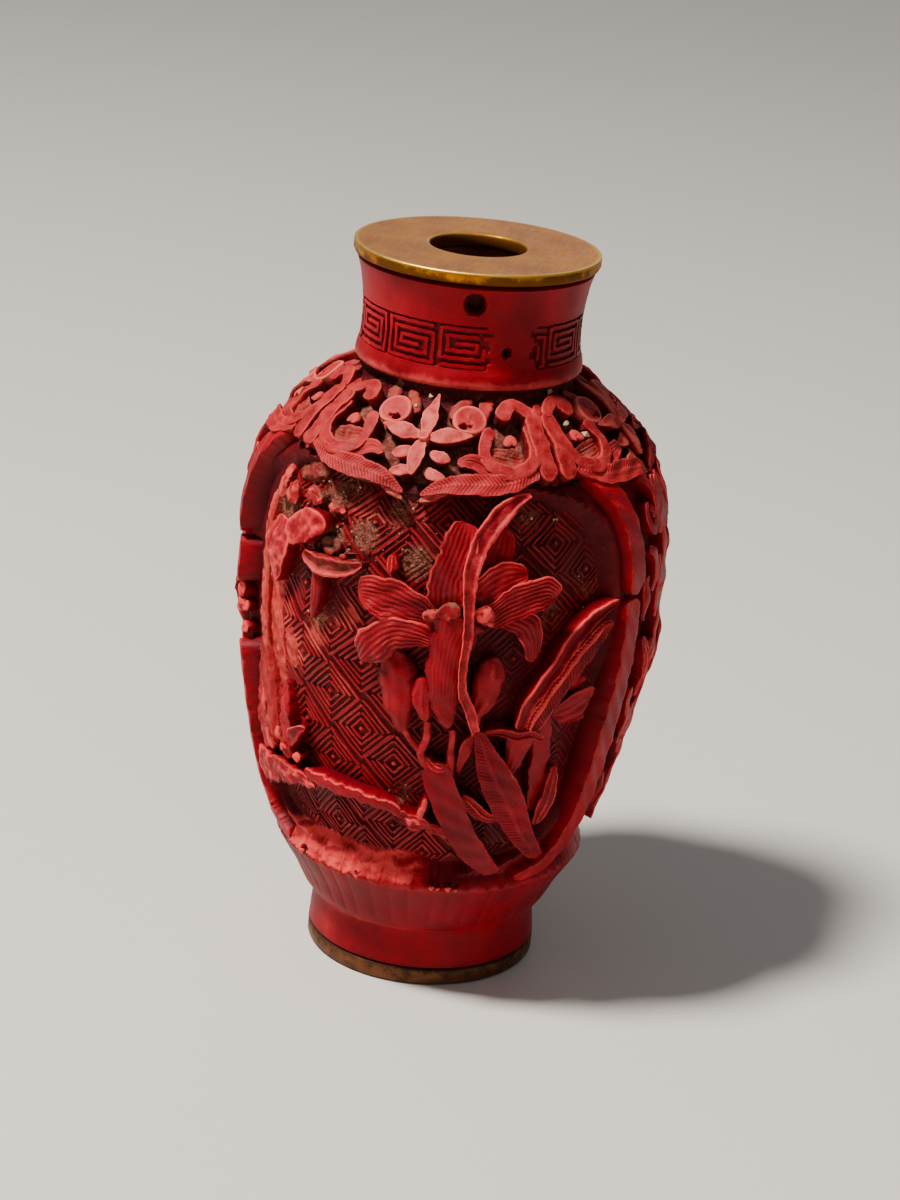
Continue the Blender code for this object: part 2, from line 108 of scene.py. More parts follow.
def wrap(angle, period=360.0):
    return (angle + period / 2) % period - period / 2


def profileAt(table, heights):
    # cubic through the profile's points that never overshoots them
    z, r = table[np.argsort(table[:, 0])].T
    step = np.diff(z)
    slope = np.diff(r) / step
    tangent = np.zeros_like(z)
    sameWay = slope[:-1] * slope[1:] > 0
    below = (2 * step[1:] + step[:-1]) / np.where(sameWay, slope[:-1], 1.0)
    above = (step[1:] + 2 * step[:-1]) / np.where(sameWay, slope[1:], 1.0)
    tangent[1:-1] = np.where(sameWay, 3 * (step[:-1] + step[1:]) / (below + above), 0.0)
    tangent[0], tangent[-1] = slope[0], slope[-1]
    cell = np.clip(np.searchsorted(z, heights, side="right") - 1, 0, len(z) - 2)
    t = np.clip((heights - z[cell]) / step[cell], 0.0, 1.0)
    start = (1 + 2 * t) * (1 - t) ** 2 * r[cell] + t * (1 - t) ** 2 * step[cell] * tangent[cell]
    end = t * t * (3 - 2 * t) * r[cell + 1] + t * t * (t - 1) * step[cell] * tangent[cell + 1]
    return start + end


def onTurn(angle, radius, height):
    turn = np.radians(angle)
    return np.stack([radius * np.sin(turn), -radius * np.cos(turn), height + 0 * turn], -1)


def skinLean(height, table):
    # outward and upward parts of the skin's normal
    slope = (profileAt(table, height + 0.1) - profileAt(table, height - 0.1)) / 0.2
    length = np.sqrt(1 + slope**2)
    return 1 / length, -slope / length


def onSkin(angle, height, out, table=skin):
    angle, height, out = np.broadcast_arrays(
        np.asarray(angle, float), np.asarray(height, float), np.asarray(out, float))
    outward, upward = skinLean(height, table)
    return onTurn(angle, profileAt(table, height) + out * outward, height + out * upward)


def skinNormal(angle, height, table=skin):
    outward, upward = skinLean(height, table)
    turn = np.radians(angle)
    return np.stack([outward * np.sin(turn), -outward * np.cos(turn), upward], -1)


def ripple(points, size, seed=0.0):
    # smooth noise between about -1 and 1
    places = points.reshape(-1, 3) / size + seed * 7.31
    found = [noise.noise(Vector(place)) for place in places]
    return np.array(found).reshape(points.shape[:-1]) * 1.6


def curveThrough(rows, steps):
    # Catmull-Rom through rows of numbers
    values = np.array(rows, float)
    padded = np.vstack([2 * values[0] - values[1], values, 2 * values[-1] - values[-2]])
    t = np.linspace(0.0, 1.0, steps, endpoint=False)[:, None]
    spans = []
    for a, b, c, d in zip(padded, padded[1:], padded[2:], padded[3:]):
        square = (2 * a - 5 * b + 4 * c - d) * t**2
        cube = (3 * b - a - 3 * c + d) * t**3
        spans.append(0.5 * (2 * b + (c - a) * t + square + cube))
    return np.vstack(spans + [values[-1:]])


# Spots are given as angle, height, reach in mm and strength. Here dust has settled
dustSpots = (
    (15, 42.2, 2.4, 1), (3, 45, 2.6, 1), (9.5, 41.2, 1.3, 1), (-14, 46.6, 2.4, 0.8), (-4, 49.6, 2.6, 0.6),
    (-26, 49.6, 3.0, 0.8), (-47, 46.5, 3.4, 0.8), (-50, 41, 2.6, 0.7), (-28, 37.6, 2.0, 0.7),
    (-24, 45.6, 1.8, 0.9), (36, 50, 2.6, 0.5), (44, 40.5, 2.4, 0.5), (52, 33, 2.2, 0.4),
    (-20, 51.6, 2.2, 0.6), (29, 55, 0.9, 1), (-2, 50.8, 1.6, 0.6), (-25, 58.2, 1.3, 0.7),
    (4, 21.6, 1.3, 0.6), (58, 42, 2, 0.4))

# Here a shadow is painted onto the ground, as if cast by what stands over it: painted shade and less rubbed
# colour, and the diaper ridges are cut lower
shadowSpots = (
    (29, 36.4, 6.0, 1.0), (36, 31.5, 5.0, 1.0), (46, 26, 4.5, 1.0), (24, 25, 4.0, 0.9), (40, 18.5, 4.5, 1.0),
    (5, 31.5, 3, 0.7), (-56, 17, 4.5, 0.9), (-44, 18.2, 4, 0.8), (-32, 18.9, 3.4, 0.7), (-20, 19.4, 2.8, 0.6),
    (-8, 19.4, 2.4, 0.6), (2, 18.6, 2.4, 0.6), (30, 15.2, 2.6, 0.9), (-62, 45, 6.0, 0.9), (-64, 36, 4.5, 0.8),
    (-37, 41, 3.0, 1.0), (-24, 40.4, 2.6, 0.8), (-27, 45, 2.4, 0.7), (58, 46, 5.0, 0.8), (62, 36, 4.5, 0.8),
    (60, 26, 5.0, 0.8))

# Here the cut ground itself is rubbed flat
rubbedSpots = (
    (-16, 38.8, 1.8, 1.0), (-22, 37.6, 1.5, 0.8), (-28, 35.6, 2.2, 1.0), (-37, 33.2, 2.4, 0.9),
    (-44, 36, 2.6, 0.8), (-6, 36, 1.4, 0.6), (-18, 31, 1.6, 0.5), (-14, 49.4, 2.2, 0.7),
    (-28, 50.4, 2.4, 0.7))


def spotsAt(spots, angle, height, core=0.25):
    # how strongly the nearest spot is felt; full within the core, a share of its reach
    found = np.zeros(np.broadcast(angle, height).shape)
    perDegree = np.radians(1.0) * 19.0
    for spotAngle, spotHeight, reach, strength in spots:
        away = np.hypot(wrap(angle - spotAngle) * perDegree, height - spotHeight)
        found = np.maximum(found, strength * (1 - smooth(core * reach, reach, away)))
    return found


# how strongly the painted shadow falls here
def shadowAt(angle, height):
    return spotsAt(shadowSpots, angle, height, 0.45)


def newStock():
    return {"points": [], "quads": [], "tris": [], "worn": [], "deep": [], "dust": [], "count": 0}


def signedVolume(points, quads, tris):
    total = 0.0
    for faces, corners in ((quads, ((0, 1, 2), (0, 2, 3))), (tris, ((0, 1, 2),))):
        for a, b, c in corners:
            if len(faces):
                cross = np.cross(points[faces[:, b]], points[faces[:, c]])
                total += (points[faces[:, a]] * cross).sum()
    return total


def addBody(stock, points, quads, tris, worn, deep, dust=None):
    # adds one closed form, turned to face outwards
    quads = np.asarray(quads, int).reshape(-1, 4)
    tris = np.asarray(tris, int).reshape(-1, 3)
    if signedVolume(points, quads, tris) < 0:
        quads, tris = quads[:, ::-1], tris[:, ::-1]
    if dust is None:
        dust = spotsAt(dustSpots, np.degrees(np.arctan2(points[:, 0], -points[:, 1])), points[:, 2])
    made = {"points": points, "quads": quads + stock["count"], "tris": tris + stock["count"],
            "worn": worn, "deep": deep, "dust": dust}
    for key, values in made.items():
        stock[key].append(values)
    stock["count"] += len(points)


def makePiece(name, stock, finish, node="lacquer_bottle", sharp=38.0):
    points = np.vstack(stock["points"]) * mm
    faces = np.vstack(stock["quads"]).tolist() + np.vstack(stock["tris"]).tolist()
    mesh = bpy.data.meshes.new(name)
    mesh.from_pydata(points.tolist(), [], faces)
    for mark in ("worn", "deep", "dust"):
        layer = mesh.attributes.new(mark, "FLOAT", "POINT")
        layer.data.foreach_set("value", np.concatenate(stock[mark]).astype(np.float32))
    mesh.materials.append(finish)
    mesh.shade_smooth()
    mesh.set_sharp_from_angle(angle=math.radians(sharp))
    piece = bpy.data.objects.new(name, mesh)
    bpy.context.scene.collection.objects.link(piece)
    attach(piece, "root")
    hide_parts(node)
    return piece


def gridFaces(rows, columns):
    # quads between rings of points
    across = np.arange(columns)
    after = (across + 1) % columns
    first = np.arange(rows - 1)[:, None] * columns
    quads = np.stack([first + across, first + after, first + columns + after, first + columns + across], -1)
    return quads.reshape(-1, 4)


def endFans(rings, count, firstMiddle, lastMiddle):
    # triangles that shut the first and last ring of points, each towards its middle point
    ring = np.arange(count)
    after = (ring + 1) % count
    last = count * (rings - 1)
    firstFan = np.stack([after, ring, 0 * ring + firstMiddle], -1)
    return np.vstack([firstFan, np.stack([ring + last, after + last, 0 * ring + lastMiddle], -1)])


def srgb(red, green, blue):
    values = np.array((red, green, blue)) / 255.0
    linear = np.where(values <= 0.04045, values / 12.92, ((values + 0.055) / 1.055) ** 2.4)
    return (*linear.tolist(), 1.0)


def addNode(tree, kind, inputs, output=None, **settings):
    # each input is a plain value or another node's output; gives back the named output, or them all
    node = tree.nodes.new(kind if kind.startswith("Node") else "ShaderNode" + kind)
    place = len(tree.nodes)
    node.location = (place % 6 * 220 - 1300, 700 - place // 6 * 320)
    for key, value in settings.items():
        setattr(node, key, value)
    fill(tree, node, inputs)
    return node.outputs[output] if output else node.outputs


def fill(tree, node, inputs):
    for name, value in inputs.items():
        if isinstance(value, bpy.types.NodeSocket):
            tree.links.new(value, node.inputs[name])
        else:
            node.inputs[name].default_value = value


def calculate(tree, operation, *values):
    return addNode(tree, "Math", dict(enumerate(values)), "Value", operation=operation)


def stepped(tree, value, low, high):
    # 0 below low, 1 above high, smooth between
    return addNode(tree, "MapRange", {"Value": value, "From Min": low, "From Max": high}, "Result",
                   interpolation_type="SMOOTHSTEP")


def mixed(tree, factor, first, second):
    return addNode(tree, "Mix", {"Factor": factor, "A": first, "B": second}, "Result", data_type="RGBA")


def toned(tree, factor, dark, light, darkAt=0.0, lightAt=1.0):
    colour = addNode(tree, "ValToRGB", {"Fac": factor}, "Color")
    stops = colour.node.color_ramp.elements
    stops[0].color, stops[0].position = srgb(*dark), darkAt
    stops[1].color, stops[1].position = srgb(*light), lightAt
    return colour


def noiseOf(tree, place, scale, detail, roughness=0.5):
    inputs = {"Vector": place, "Scale": scale, "Detail": detail, "Roughness": roughness}
    return addNode(tree, "TexNoise", inputs, "Fac")


def stretched(tree, place, scale, turn=0.0):
    return addNode(tree, "Mapping", {"Vector": place, "Rotation": (0.0, 0.0, turn), "Scale": scale}, "Vector")


def bumped(tree, height, strength, distance):
    return addNode(tree, "Bump", {"Height": height, "Strength": strength, "Distance": distance}, "Normal")


def markOf(tree, mark):
    return addNode(tree, "Attribute", {}, "Fac", attribute_name=mark)


def newGroup(name, inputs, outputs):
    group = bpy.data.node_groups.new(name, "ShaderNodeTree")
    for label, value in inputs.items():
        group.interface.new_socket(label, in_out="INPUT", socket_type="NodeSocketFloat").default_value = value
    for label, kind in outputs.items():
        group.interface.new_socket(label, in_out="OUTPUT", socket_type="NodeSocket" + kind)
    return group, addNode(group, "NodeGroupInput", {}), addNode(group, "TexCoord", {}, "Object")


# How strongly a form's worn edges show, broken up by noise
wearGroup, given, place = newGroup(
    "rubbedEdges", {"Worn": 0.0, "Amount": 1.0, "Patch Scale": 700.0, "Break Up": 1.05}, {"Mask": "Float"})
patches = noiseOf(wearGroup, place, given["Patch Scale"], 6.0, 0.72)
centred = calculate(wearGroup, "SUBTRACT", patches, 0.5)
broken = calculate(wearGroup, "MULTIPLY_ADD", centred, given["Break Up"], -0.095)
scaled = calculate(wearGroup, "MULTIPLY", given["Worn"], given["Amount"])
shown = stepped(wearGroup, calculate(wearGroup, "ADD", scaled, broken), 0.25, 0.75)
addNode(wearGroup, "NodeGroupOutput", {"Mask": shown})

# Dust and grime that lie in the hollows
dustGroup, given, place = newGroup(
    "settledDust", {"Dust": 0.0, "Deep": 0.0, "Amount": 1.0},
    {"Mask": "Float", "Colour": "Color", "Height": "Float"})
clouds = noiseOf(dustGroup, place, 1500.0, 8.0, 0.7)
specks = addNode(dustGroup, "TexVoronoi", {"Vector": place, "Scale": 3800.0}, "Distance")
lying = calculate(dustGroup, "MULTIPLY_ADD", given["Deep"], 0.16, given["Dust"])
lying = calculate(dustGroup, "MULTIPLY", lying, given["Amount"])
spread = calculate(dustGroup, "MULTIPLY_ADD", clouds, 1.6, -0.95)
addNode(dustGroup, "NodeGroupOutput", {
    "Mask": stepped(dustGroup, calculate(dustGroup, "ADD", lying, spread), 0.1, 0.7),
    "Colour": toned(dustGroup, clouds, (78, 32, 24), (158, 100, 80), 0.32, 0.78), "Height": specks})

# Tone of the lacquer and the fine tool marks and pits in it
grainGroup, given, place = newGroup(
    "lacquerGrain", {"Scratch Scale": 1200.0, "Pits": 0.5}, {"Tone": "Float", "Height": "Float"})
tone = noiseOf(grainGroup, place, 210.0, 5.0, 0.6)
lines = noiseOf(grainGroup, stretched(grainGroup, place, (1.0, 1.0, 5.0)), given["Scratch Scale"], 4.0)
pits = addNode(grainGroup, "TexVoronoi", {"Vector": place, "Scale": 1700.0}, "Distance")
pits = calculate(grainGroup, "MULTIPLY", stepped(grainGroup, pits, 0.05, 0.28), given["Pits"])
addNode(grainGroup, "NodeGroupOutput", {"Tone": tone, "Height": calculate(grainGroup, "ADD", lines, pits)})


def newMaterial(name):
    made = bpy.data.materials.new(name)
    made.use_nodes = True
    return made, made.node_tree, made.node_tree.nodes["Principled BSDF"]


def lacquerMaterial(name, look):
    made, tree, shader = newMaterial(name)
    deep = markOf(tree, "deep")
    grain = addNode(tree, "Group", {
        "Scratch Scale": look["scratchScale"], "Pits": look["pits"]}, node_tree=grainGroup)
    rubbed = addNode(tree, "Group", {
        "Worn": markOf(tree, "worn"), "Amount": look["wear"], "Patch Scale": look["wearScale"],
        "Break Up": look["breakUp"]}, "Mask", node_tree=wearGroup)
    dust = addNode(tree, "Group", {
        "Dust": markOf(tree, "dust"), "Deep": deep, "Amount": look["dust"]}, node_tree=dustGroup)
    colour = toned(tree, grain["Tone"], look["shade"], look["red"], 0.32, 0.66)
    # painted shade: the deep mark mixes in the hollow colour, darkening hollows, walls and recesses
    hollowShade = calculate(tree, "MULTIPLY", deep, look["hollowShadeAmount"])
    colour = mixed(tree, hollowShade, colour, srgb(*look["hollow"]))
    colour = mixed(tree, rubbed, colour, srgb(*look["rubbed"]))
    colour = mixed(tree, dust["Mask"], colour, dust["Colour"])
    # smooth lacquer, duller where it is rubbed, dull where dust lies
    rough = addNode(tree, "MapRange", {
        "Value": rubbed, "To Min": look["roughness"], "To Max": look["rubbedRoughness"]}, "Result")
    rough = addNode(tree, "MapRange", {"Value": dust["Mask"], "To Min": rough, "To Max": 0.92}, "Result")
    crumbs = bumped(tree, dust["Height"], dust["Mask"], 0.00012)
    fill(tree, crumbs.node, {"Normal": bumped(tree, grain["Height"], look["bump"], 0.00006)})
    fill(tree, shader, {"Base Color": colour, "Roughness": rough, "Normal": crumbs,
                        "Specular IOR Level": look["specular"]})
    return made


# Colours are as seen, 0 to 255. The other lacquers say only what differs from the carved one's look
carvedLook = {
    "red": (160, 0, 24),
    "shade": (118, 0, 16),
    # hollow is the colour painted into deep places as shade
    "hollow": (54, 1, 11),
    "hollowShadeAmount": 0.82,
    "rubbed": (228, 64, 66),
    "wear": 1.0,             # how much of the wear shows
    "wearScale": 650.0,
    "breakUp": 0.95,         # how patchy the wear is
    "dust": 0.8,
    "roughness": 0.46,
    "rubbedRoughness": 0.6,
    "specular": 0.14,
    "scratchScale": 1500.0,
    "pits": 0.45,
    "bump": 0.7,
}
looks = {
    "Carved": {},
    # The frieze's flowers get paler lacquer, and its scrolls and leaves darker: painted light and shade
    "Flowers": {
        "red": (168, 30, 36), "shade": (132, 16, 24), "rubbed": (216, 92, 84), "wear": 1.1,
        "wearScale": 420.0, "breakUp": 0.5, "dust": 0.9, "roughness": 0.52, "rubbedRoughness": 0.66},
    "Scrolls": {
        "red": (156, 20, 30), "shade": (122, 8, 20), "rubbed": (190, 58, 56), "wear": 1.1, "wearScale": 420.0,
        "breakUp": 0.6, "dust": 0.9, "roughness": 0.52, "rubbedRoughness": 0.66},
    "Worn": {
        "red": (166, 26, 34), "shade": (128, 10, 22), "rubbed": (202, 68, 58), "wearScale": 900.0,
        "breakUp": 0.7, "roughness": 0.62, "rubbedRoughness": 0.74},
    "Ground": {
        "red": (122, 8, 20), "shade": (76, 4, 14), "hollow": (48, 3, 11), "hollowShadeAmount": 0.64,
        "rubbed": (190, 60, 56), "wearScale": 800.0, "breakUp": 1.05, "dust": 0.9, "roughness": 0.6,
        "rubbedRoughness": 0.7, "specular": 0.12, "scratchScale": 1400.0, "pits": 0.7, "bump": 0.9},
    "Ridges": {
        "red": (150, 16, 27), "shade": (112, 8, 18), "hollow": (62, 3, 12), "hollowShadeAmount": 0.74,
        "rubbed": (184, 70, 60), "wear": 0.8, "wearScale": 1100.0, "breakUp": 1.05, "dust": 0.9,
        "roughness": 0.52, "rubbedRoughness": 0.66, "specular": 0.16, "scratchScale": 1800.0, "pits": 0.5,
        "bump": 0.6},
    "Turned": {
        "red": (152, 0, 23), "shade": (108, 0, 14), "hollow": (54, 2, 12), "hollowShadeAmount": 0.84,
        "rubbed": (204, 66, 66), "wear": 0.8, "wearScale": 420.0, "breakUp": 1.05, "dust": 0.6,
        "rubbedRoughness": 0.56, "specular": 0.1, "scratchScale": 900.0, "pits": 0.15, "bump": 0.5},
    "Inside": {
        "red": (176, 98, 74), "shade": (112, 56, 44), "hollow": (44, 20, 18), "hollowShadeAmount": 0.5,
        "rubbed": (90, 60, 48), "wear": 0.4, "wearScale": 500.0, "breakUp": 1.05, "dust": 1.0,
        "roughness": 0.85, "rubbedRoughness": 0.9, "specular": 0.3, "scratchScale": 700.0, "pits": 0.8,
        "bump": 1.0},
}
lacquer = {name: lacquerMaterial("lacquer" + name, {**carvedLook, **look}) for name, look in looks.items()}


def brassMaterial(name, look):
    made, tree, shader = newMaterial(name)
    place = addNode(tree, "TexCoord", {}, "Object")
    clouds = noiseOf(tree, place, look["cloudScale"], 6.0, 0.62)
    hair = noiseOf(tree, stretched(tree, place, (14.0, 1.0, 1.0), 0.6), 520.0, 3.0)
    stain = noiseOf(tree, place, look["stainScale"], 8.0, 0.7)
    colour = toned(tree, clouds, look["shade"], look["metal"], 0.35, 0.62)
    # the worn mark mixes in the bright colour: worn brass, and painted highlight on the mouth plate's bevel
    # and hole rim
    colour = mixed(tree, markOf(tree, "worn"), colour, srgb(*look["bright"]))
    stained = addNode(tree, "MapRange", {
        "Value": calculate(tree, "ADD", stain, markOf(tree, "deep")), "From Min": look["tarnishFrom"],
        "From Max": look["tarnishFrom"] + 0.22, "To Max": 0.85}, "Result", interpolation_type="SMOOTHSTEP")
    rough = addNode(tree, "MapRange", {
        "Value": hair, "From Min": 0.35, "From Max": 0.65, "To Min": look["roughness"],
        "To Max": look["roughness"] + 0.12}, "Result")
    fill(tree, shader, {
        "Base Color": mixed(tree, stained, colour, srgb(*look["tarnish"])), "Metallic": look["metallic"],
        "Roughness": addNode(tree, "MapRange", {"Value": stained, "To Min": rough, "To Max": 0.72}, "Result"),
        "Normal": bumped(tree, hair, look["bump"], 0.00003)})
    return made


mouthBrass = brassMaterial("mouthBrass", {
    "metal": (208, 130, 0), "shade": (178, 102, 0), "bright": (255, 220, 104), "tarnish": (84, 52, 24),
    "cloudScale": 260.0, "stainScale": 420.0, "tarnishFrom": 0.76, "roughness": 0.34, "bump": 0.35,
    "metallic": 1.0})
footBrass = brassMaterial("footBrass", {
    "metal": (112, 66, 32), "shade": (82, 44, 24), "bright": (136, 92, 50), "tarnish": (56, 30, 20),
    "cloudScale": 420.0, "stainScale": 700.0, "tarnishFrom": 0.55, "roughness": 0.5, "bump": 0.7,
    "metallic": 0.7})

# Grains: mostly brown lacquer dust, a few pale ones
dustGrain, tree, shader = newMaterial("dustGrain")
place = addNode(tree, "TexCoord", {}, "Object")
fill(tree, shader, {
    "Base Color": toned(tree, markOf(tree, "worn"), (112, 58, 44), (222, 184, 138)), "Roughness": 0.8,
    "Normal": bumped(tree, noiseOf(tree, place, 4000.0, 2.0), 1.0, 0.00004)})
print("materials made")


def panelEdge(height):
    # half the panel's width in degrees, inside its rim
    t = np.clip((height - bottle["panelMiddle"]) / bottle["panelReach"], -1.0, 1.0)
    rounded = np.sqrt(np.clip(1.0 - np.abs(t) ** np.where(t > 0, 7.0, 5.0), 0.0, 1.0))
    return (bottle["panelHalfTurn"] - 2.5 * smooth(40.6, 41.2, height)) * rounded


def ledgeTop(front):
    # height where the worn ledge under the front panel meets the ground
    return 14.1 - 0.7 * smooth(7.0, 21.0, front) + 0.5 * smooth(-30.0, -56.0, front)


def leftOf(angle, low, high):
    # 1 on the left of the front, 0 beyond high and on the back
    front = wrap(angle)
    onFront = 1.0 - smooth(bottle["backFrom"], bottle["backTo"], np.abs(front))
    return (1.0 - smooth(low, high, front)) * onFront


def groundDepth(angle, height):
    front = wrap(angle)
    nearest = np.minimum(np.abs(front), np.abs(wrap(angle - 180.0)))
    beyond = nearest - panelEdge(height)
    # the wall under the rim is hollowed, so the ground climbs before it
    climb = smooth(-5.5, 0.5, beyond) ** 1.6 * smooth(13.0, 17.0, height)
    climb *= 1.0 - 0.75 * smooth(-40.0, -60.0, front)
    depth = bottle["panelDepth"] - bottle["wallClimb"] * climb
    depth = depth + (bottle["sideDepth"] - depth) * smooth(2.0, 4.0, beyond)
    ledge = np.where(np.abs(front) < 75.0, ledgeTop(front), 14.0)
    rise = (height - bottle["lappetTop"]) / (ledge - bottle["lappetTop"])
    depth = np.minimum(depth, bottle["panelDepth"] * np.clip(rise, 0.0, 1.2))
    eighth = np.abs(wrap(angle, 90.0))
    scallop = bottle["friezeBottom"] + 1.5 * np.sin(np.radians(eighth) * 2.6) ** 2
    inFrieze = smooth(scallop - 0.25, scallop + 0.25, height)
    return depth + (bottle["friezeDepth"] - depth) * inFrieze


def lappetGroove(angle, height):
    # knife cuts between the upright lappets, none quite even
    step = 360.0 / bottle["lappets"]
    cell = np.round(angle / step)
    shift = 0.16 * np.sin(cell * 12.9898) + 0.1 * np.sin(cell * 4.1)
    away = np.abs(angle / step - cell - shift) * step * 0.24
    cut = (1.0 - smooth(0.0, 0.26, away)) * (0.8 + 0.3 * np.sin(cell * 7.7))
    crown = smooth(0.2, 0.9, away)
    low, high = bottle["lappetBottom"], bottle["lappetTop"]
    upright = band(low + 0.1, low + 0.7, high - 0.1, high + 0.5 + 0.3 * np.sin(cell * 3.3), height)
    return upright * (bottle["lappetDepth"] * cut + 0.05 - 0.025 * crown)


def fretRecess(angle, height):
    # 1 where the band for the fret is cut down, and none where the carver left the neck plain
    line = np.floor((height - 61.0) / 0.52)
    leftEnd = bottle["plainFrom"] + 2.6 * np.sin(line * 2.3)
    rightEnd = bottle["plainTo"] + 2.4 * np.sin(line * 1.7 + 1.0)
    plain = band(leftEnd, leftEnd + 3.0, rightEnd, rightEnd + 3.0, wrap(angle))
    low, high = bottle["fretFrom"], bottle["fretTo"]
    return band(low, low + 0.12, high - 0.12, high, height) * (1.0 - plain)


def run(kind, low, high, count):
    return [(height, None, kind) for height in np.linspace(low, high, count)]


# Height, radius and kind of surface, going up the outside and down the inside
stations = [
    (3.3, 0.01, "under"), (3.3, 3.0, "under"), (3.3, 6.0, "under"), (3.2, 8.4, "under"), (2.6, 8.75, "under"),
    (footBottom, 8.85, "under"), (footBottom, 9.8, "turned"), (footBottom, 10.9, "turned"),
    *run("foot", footBottom + 0.12, 5.75, 8),
    (5.85, 10.9, "edge"), (5.88, 11.35, "edge"), (6.0, 11.5, "edge"),
    *run("carved", 6.14, 11.6, 18), *run("carved", 11.75, 15.9, 26),
    *run("carved", 16.4, 51.0, 58), *run("carved", 51.25, 58.5, 27),
    (58.3, 9.75, "collar"), (59.0, 9.7, "collar"), (59.12, 10.15, "turned"),
    *run("neck", 59.2, 60.85, 9), *run("neck", 60.92, 64.96, 31), *run("neck", 65.15, neckTop - 0.1, 18),
    (neckTop, 10.8, "turned"), (neckTop, 8.0, "turned"), (neckTop, 5.7, "inside"),
    *run("bore", neckTop - 0.15, 6.3, 16),
    (6.2, 5.4, "inside"), (6.2, 2.5, "inside"), (6.2, 0.01, "inside")]


# Each of the next four gives a ring of points, how worn it is and how deep it lies; the depth is painted as
# shade
def carvedRow(angles, around):
    zero = np.zeros_like(angles)
    front = wrap(angles)
    # the edge of the ledge is chipped unevenly
    nearLedge = band(11.0, 12.0, 13.6, 14.8, around) * (1.0 - 0.7 * smooth(50.0, 66.0, np.abs(angles)))
    edgeLine = onSkin(angles, 12.4 + zero, zero)
    chips = 0.26 * (ripple(edgeLine, 0.8, 11) + 0.7 * ripple(edgeLine, 0.33, 12))
    depth = groundDepth(angles, around + chips * nearLedge)
    row = onSkin(angles, around, -depth)
    uneven = ripple(row, 1.1, 1) + 0.5 * ripple(row, 0.45, 2)
    inGround = smooth(0.5, 1.4, depth)
    depth = depth + lappetGroove(angles, around) - 0.07 * uneven * inGround
    slope = smooth(0.0, 0.16, around + chips - bottle["lappetTop"])
    slope *= 1.0 - smooth(-0.1, 0.4, around - ledgeTop(front))
    scraped = ripple(np.stack([angles / 9.0, around / 0.35, zero], -1), 1.0, 9)
    slope *= 1.0 - 0.7 * band(8.0, 24.0, bottle["backFrom"], bottle["backTo"], front)
    depth = depth + slope * (0.07 * uneven + 0.09 * scraped)
    # hollow paints shade: the deeper the ground is cut the darker it is, and darker still on the frieze's
    # ground just under the neck
    hollow = np.clip(0.85 * smooth(0.4, 1.8, depth) + 0.4 * smooth(57.0, 58.6, around), 0.0, 1.0)
    hollow = hollow * (1.0 - 0.85 * slope)
    # painted shade over the lappet band, which looks down
    hollow = np.maximum(hollow, 0.3 * band(6.2, 6.6, 11.4, 12.2, around))
    # painted shade on the ledge right of the front, and where the painted shadow falls on the ground
    shade = 0.75 * band(9.0, 19.0, 70.0, 90.0, front) * band(12.1, 12.5, 15.0, 16.0, around)
    hollow = np.maximum(hollow, np.maximum(shade, shadowAt(angles, around) * inGround))
    # the ledge's rubbed colour is stronger on the left of the front: painted highlight where the light falls,
    # over the real wear
    mark = slope * (0.72 + 0.3 * scraped) * (0.35 + 0.65 * leftOf(angles, 4.0, 16.0))
    mark = mark + 0.04 * (1.0 - inGround) + 0.75 * spotsAt(rubbedSpots, angles, around) * inGround
    return onSkin(angles, around, -depth), mark, hollow


def neckRow(angles, around):
    base = profileAt(neck, around)
    row = onTurn(angles, base, around)
    recess = fretRecess(angles, around)
    depth = bottle["fretDepth"] * recess
    # the fret's recess and the pin holes are painted dark as shade
    hollow = 0.66 * recess
    for holeAngle, holeHeight, holeRadius, holeDepth in bottle["pinHoles"]:
        away = np.hypot(wrap(angles - holeAngle) * np.radians(1.0) * base, around - holeHeight)
        hole = 1.0 - smooth(holeRadius - 0.12, holeRadius + 0.08, away)
        depth = np.maximum(depth, holeDepth * hole)
        hollow = np.maximum(hollow, hole)
    depth = depth - 0.025 * ripple(row, 2.6, 3)
    mark = 0.12 + 0.66 * (1.0 - smooth(0.0, 1.5, np.abs(around - 59.3))) - 0.5 * recess
    return onTurn(angles, base - depth, around), mark, hollow


def footRow(angles, around):
    base = profileAt(foot, around)
    base = base + 0.03 * ripple(onTurn(angles, base, around), 3.2, 4)
    # more rubbed colour on the left of the front: painted highlight where the light falls, over the worn top
    # band
    mark = 0.1 + 0.5 * smooth(5.55, 5.9, around) + 0.3 * leftOf(angles, -24.0, 6.0)
    return onTurn(angles, base, around), mark, 0.5 * (1.0 - smooth(footBottom, footBottom + 0.4, around))


def boreRow(angles, around):
    base = profileAt(bore, around)
    base = base + 0.12 * ripple(onTurn(angles, base, around), 4.0, 5) * (1.0 - smooth(62.0, 68.0, around))
    # the bore is painted darker further down from the mouth, as shade inside it
    return onTurn(angles, base, around), 0.0 * angles, 0.3 + 0.5 * (1.0 - smooth(60.0, 66.0, around))


rowMakers = {"carved": carvedRow, "neck": neckRow, "foot": footRow, "bore": boreRow}


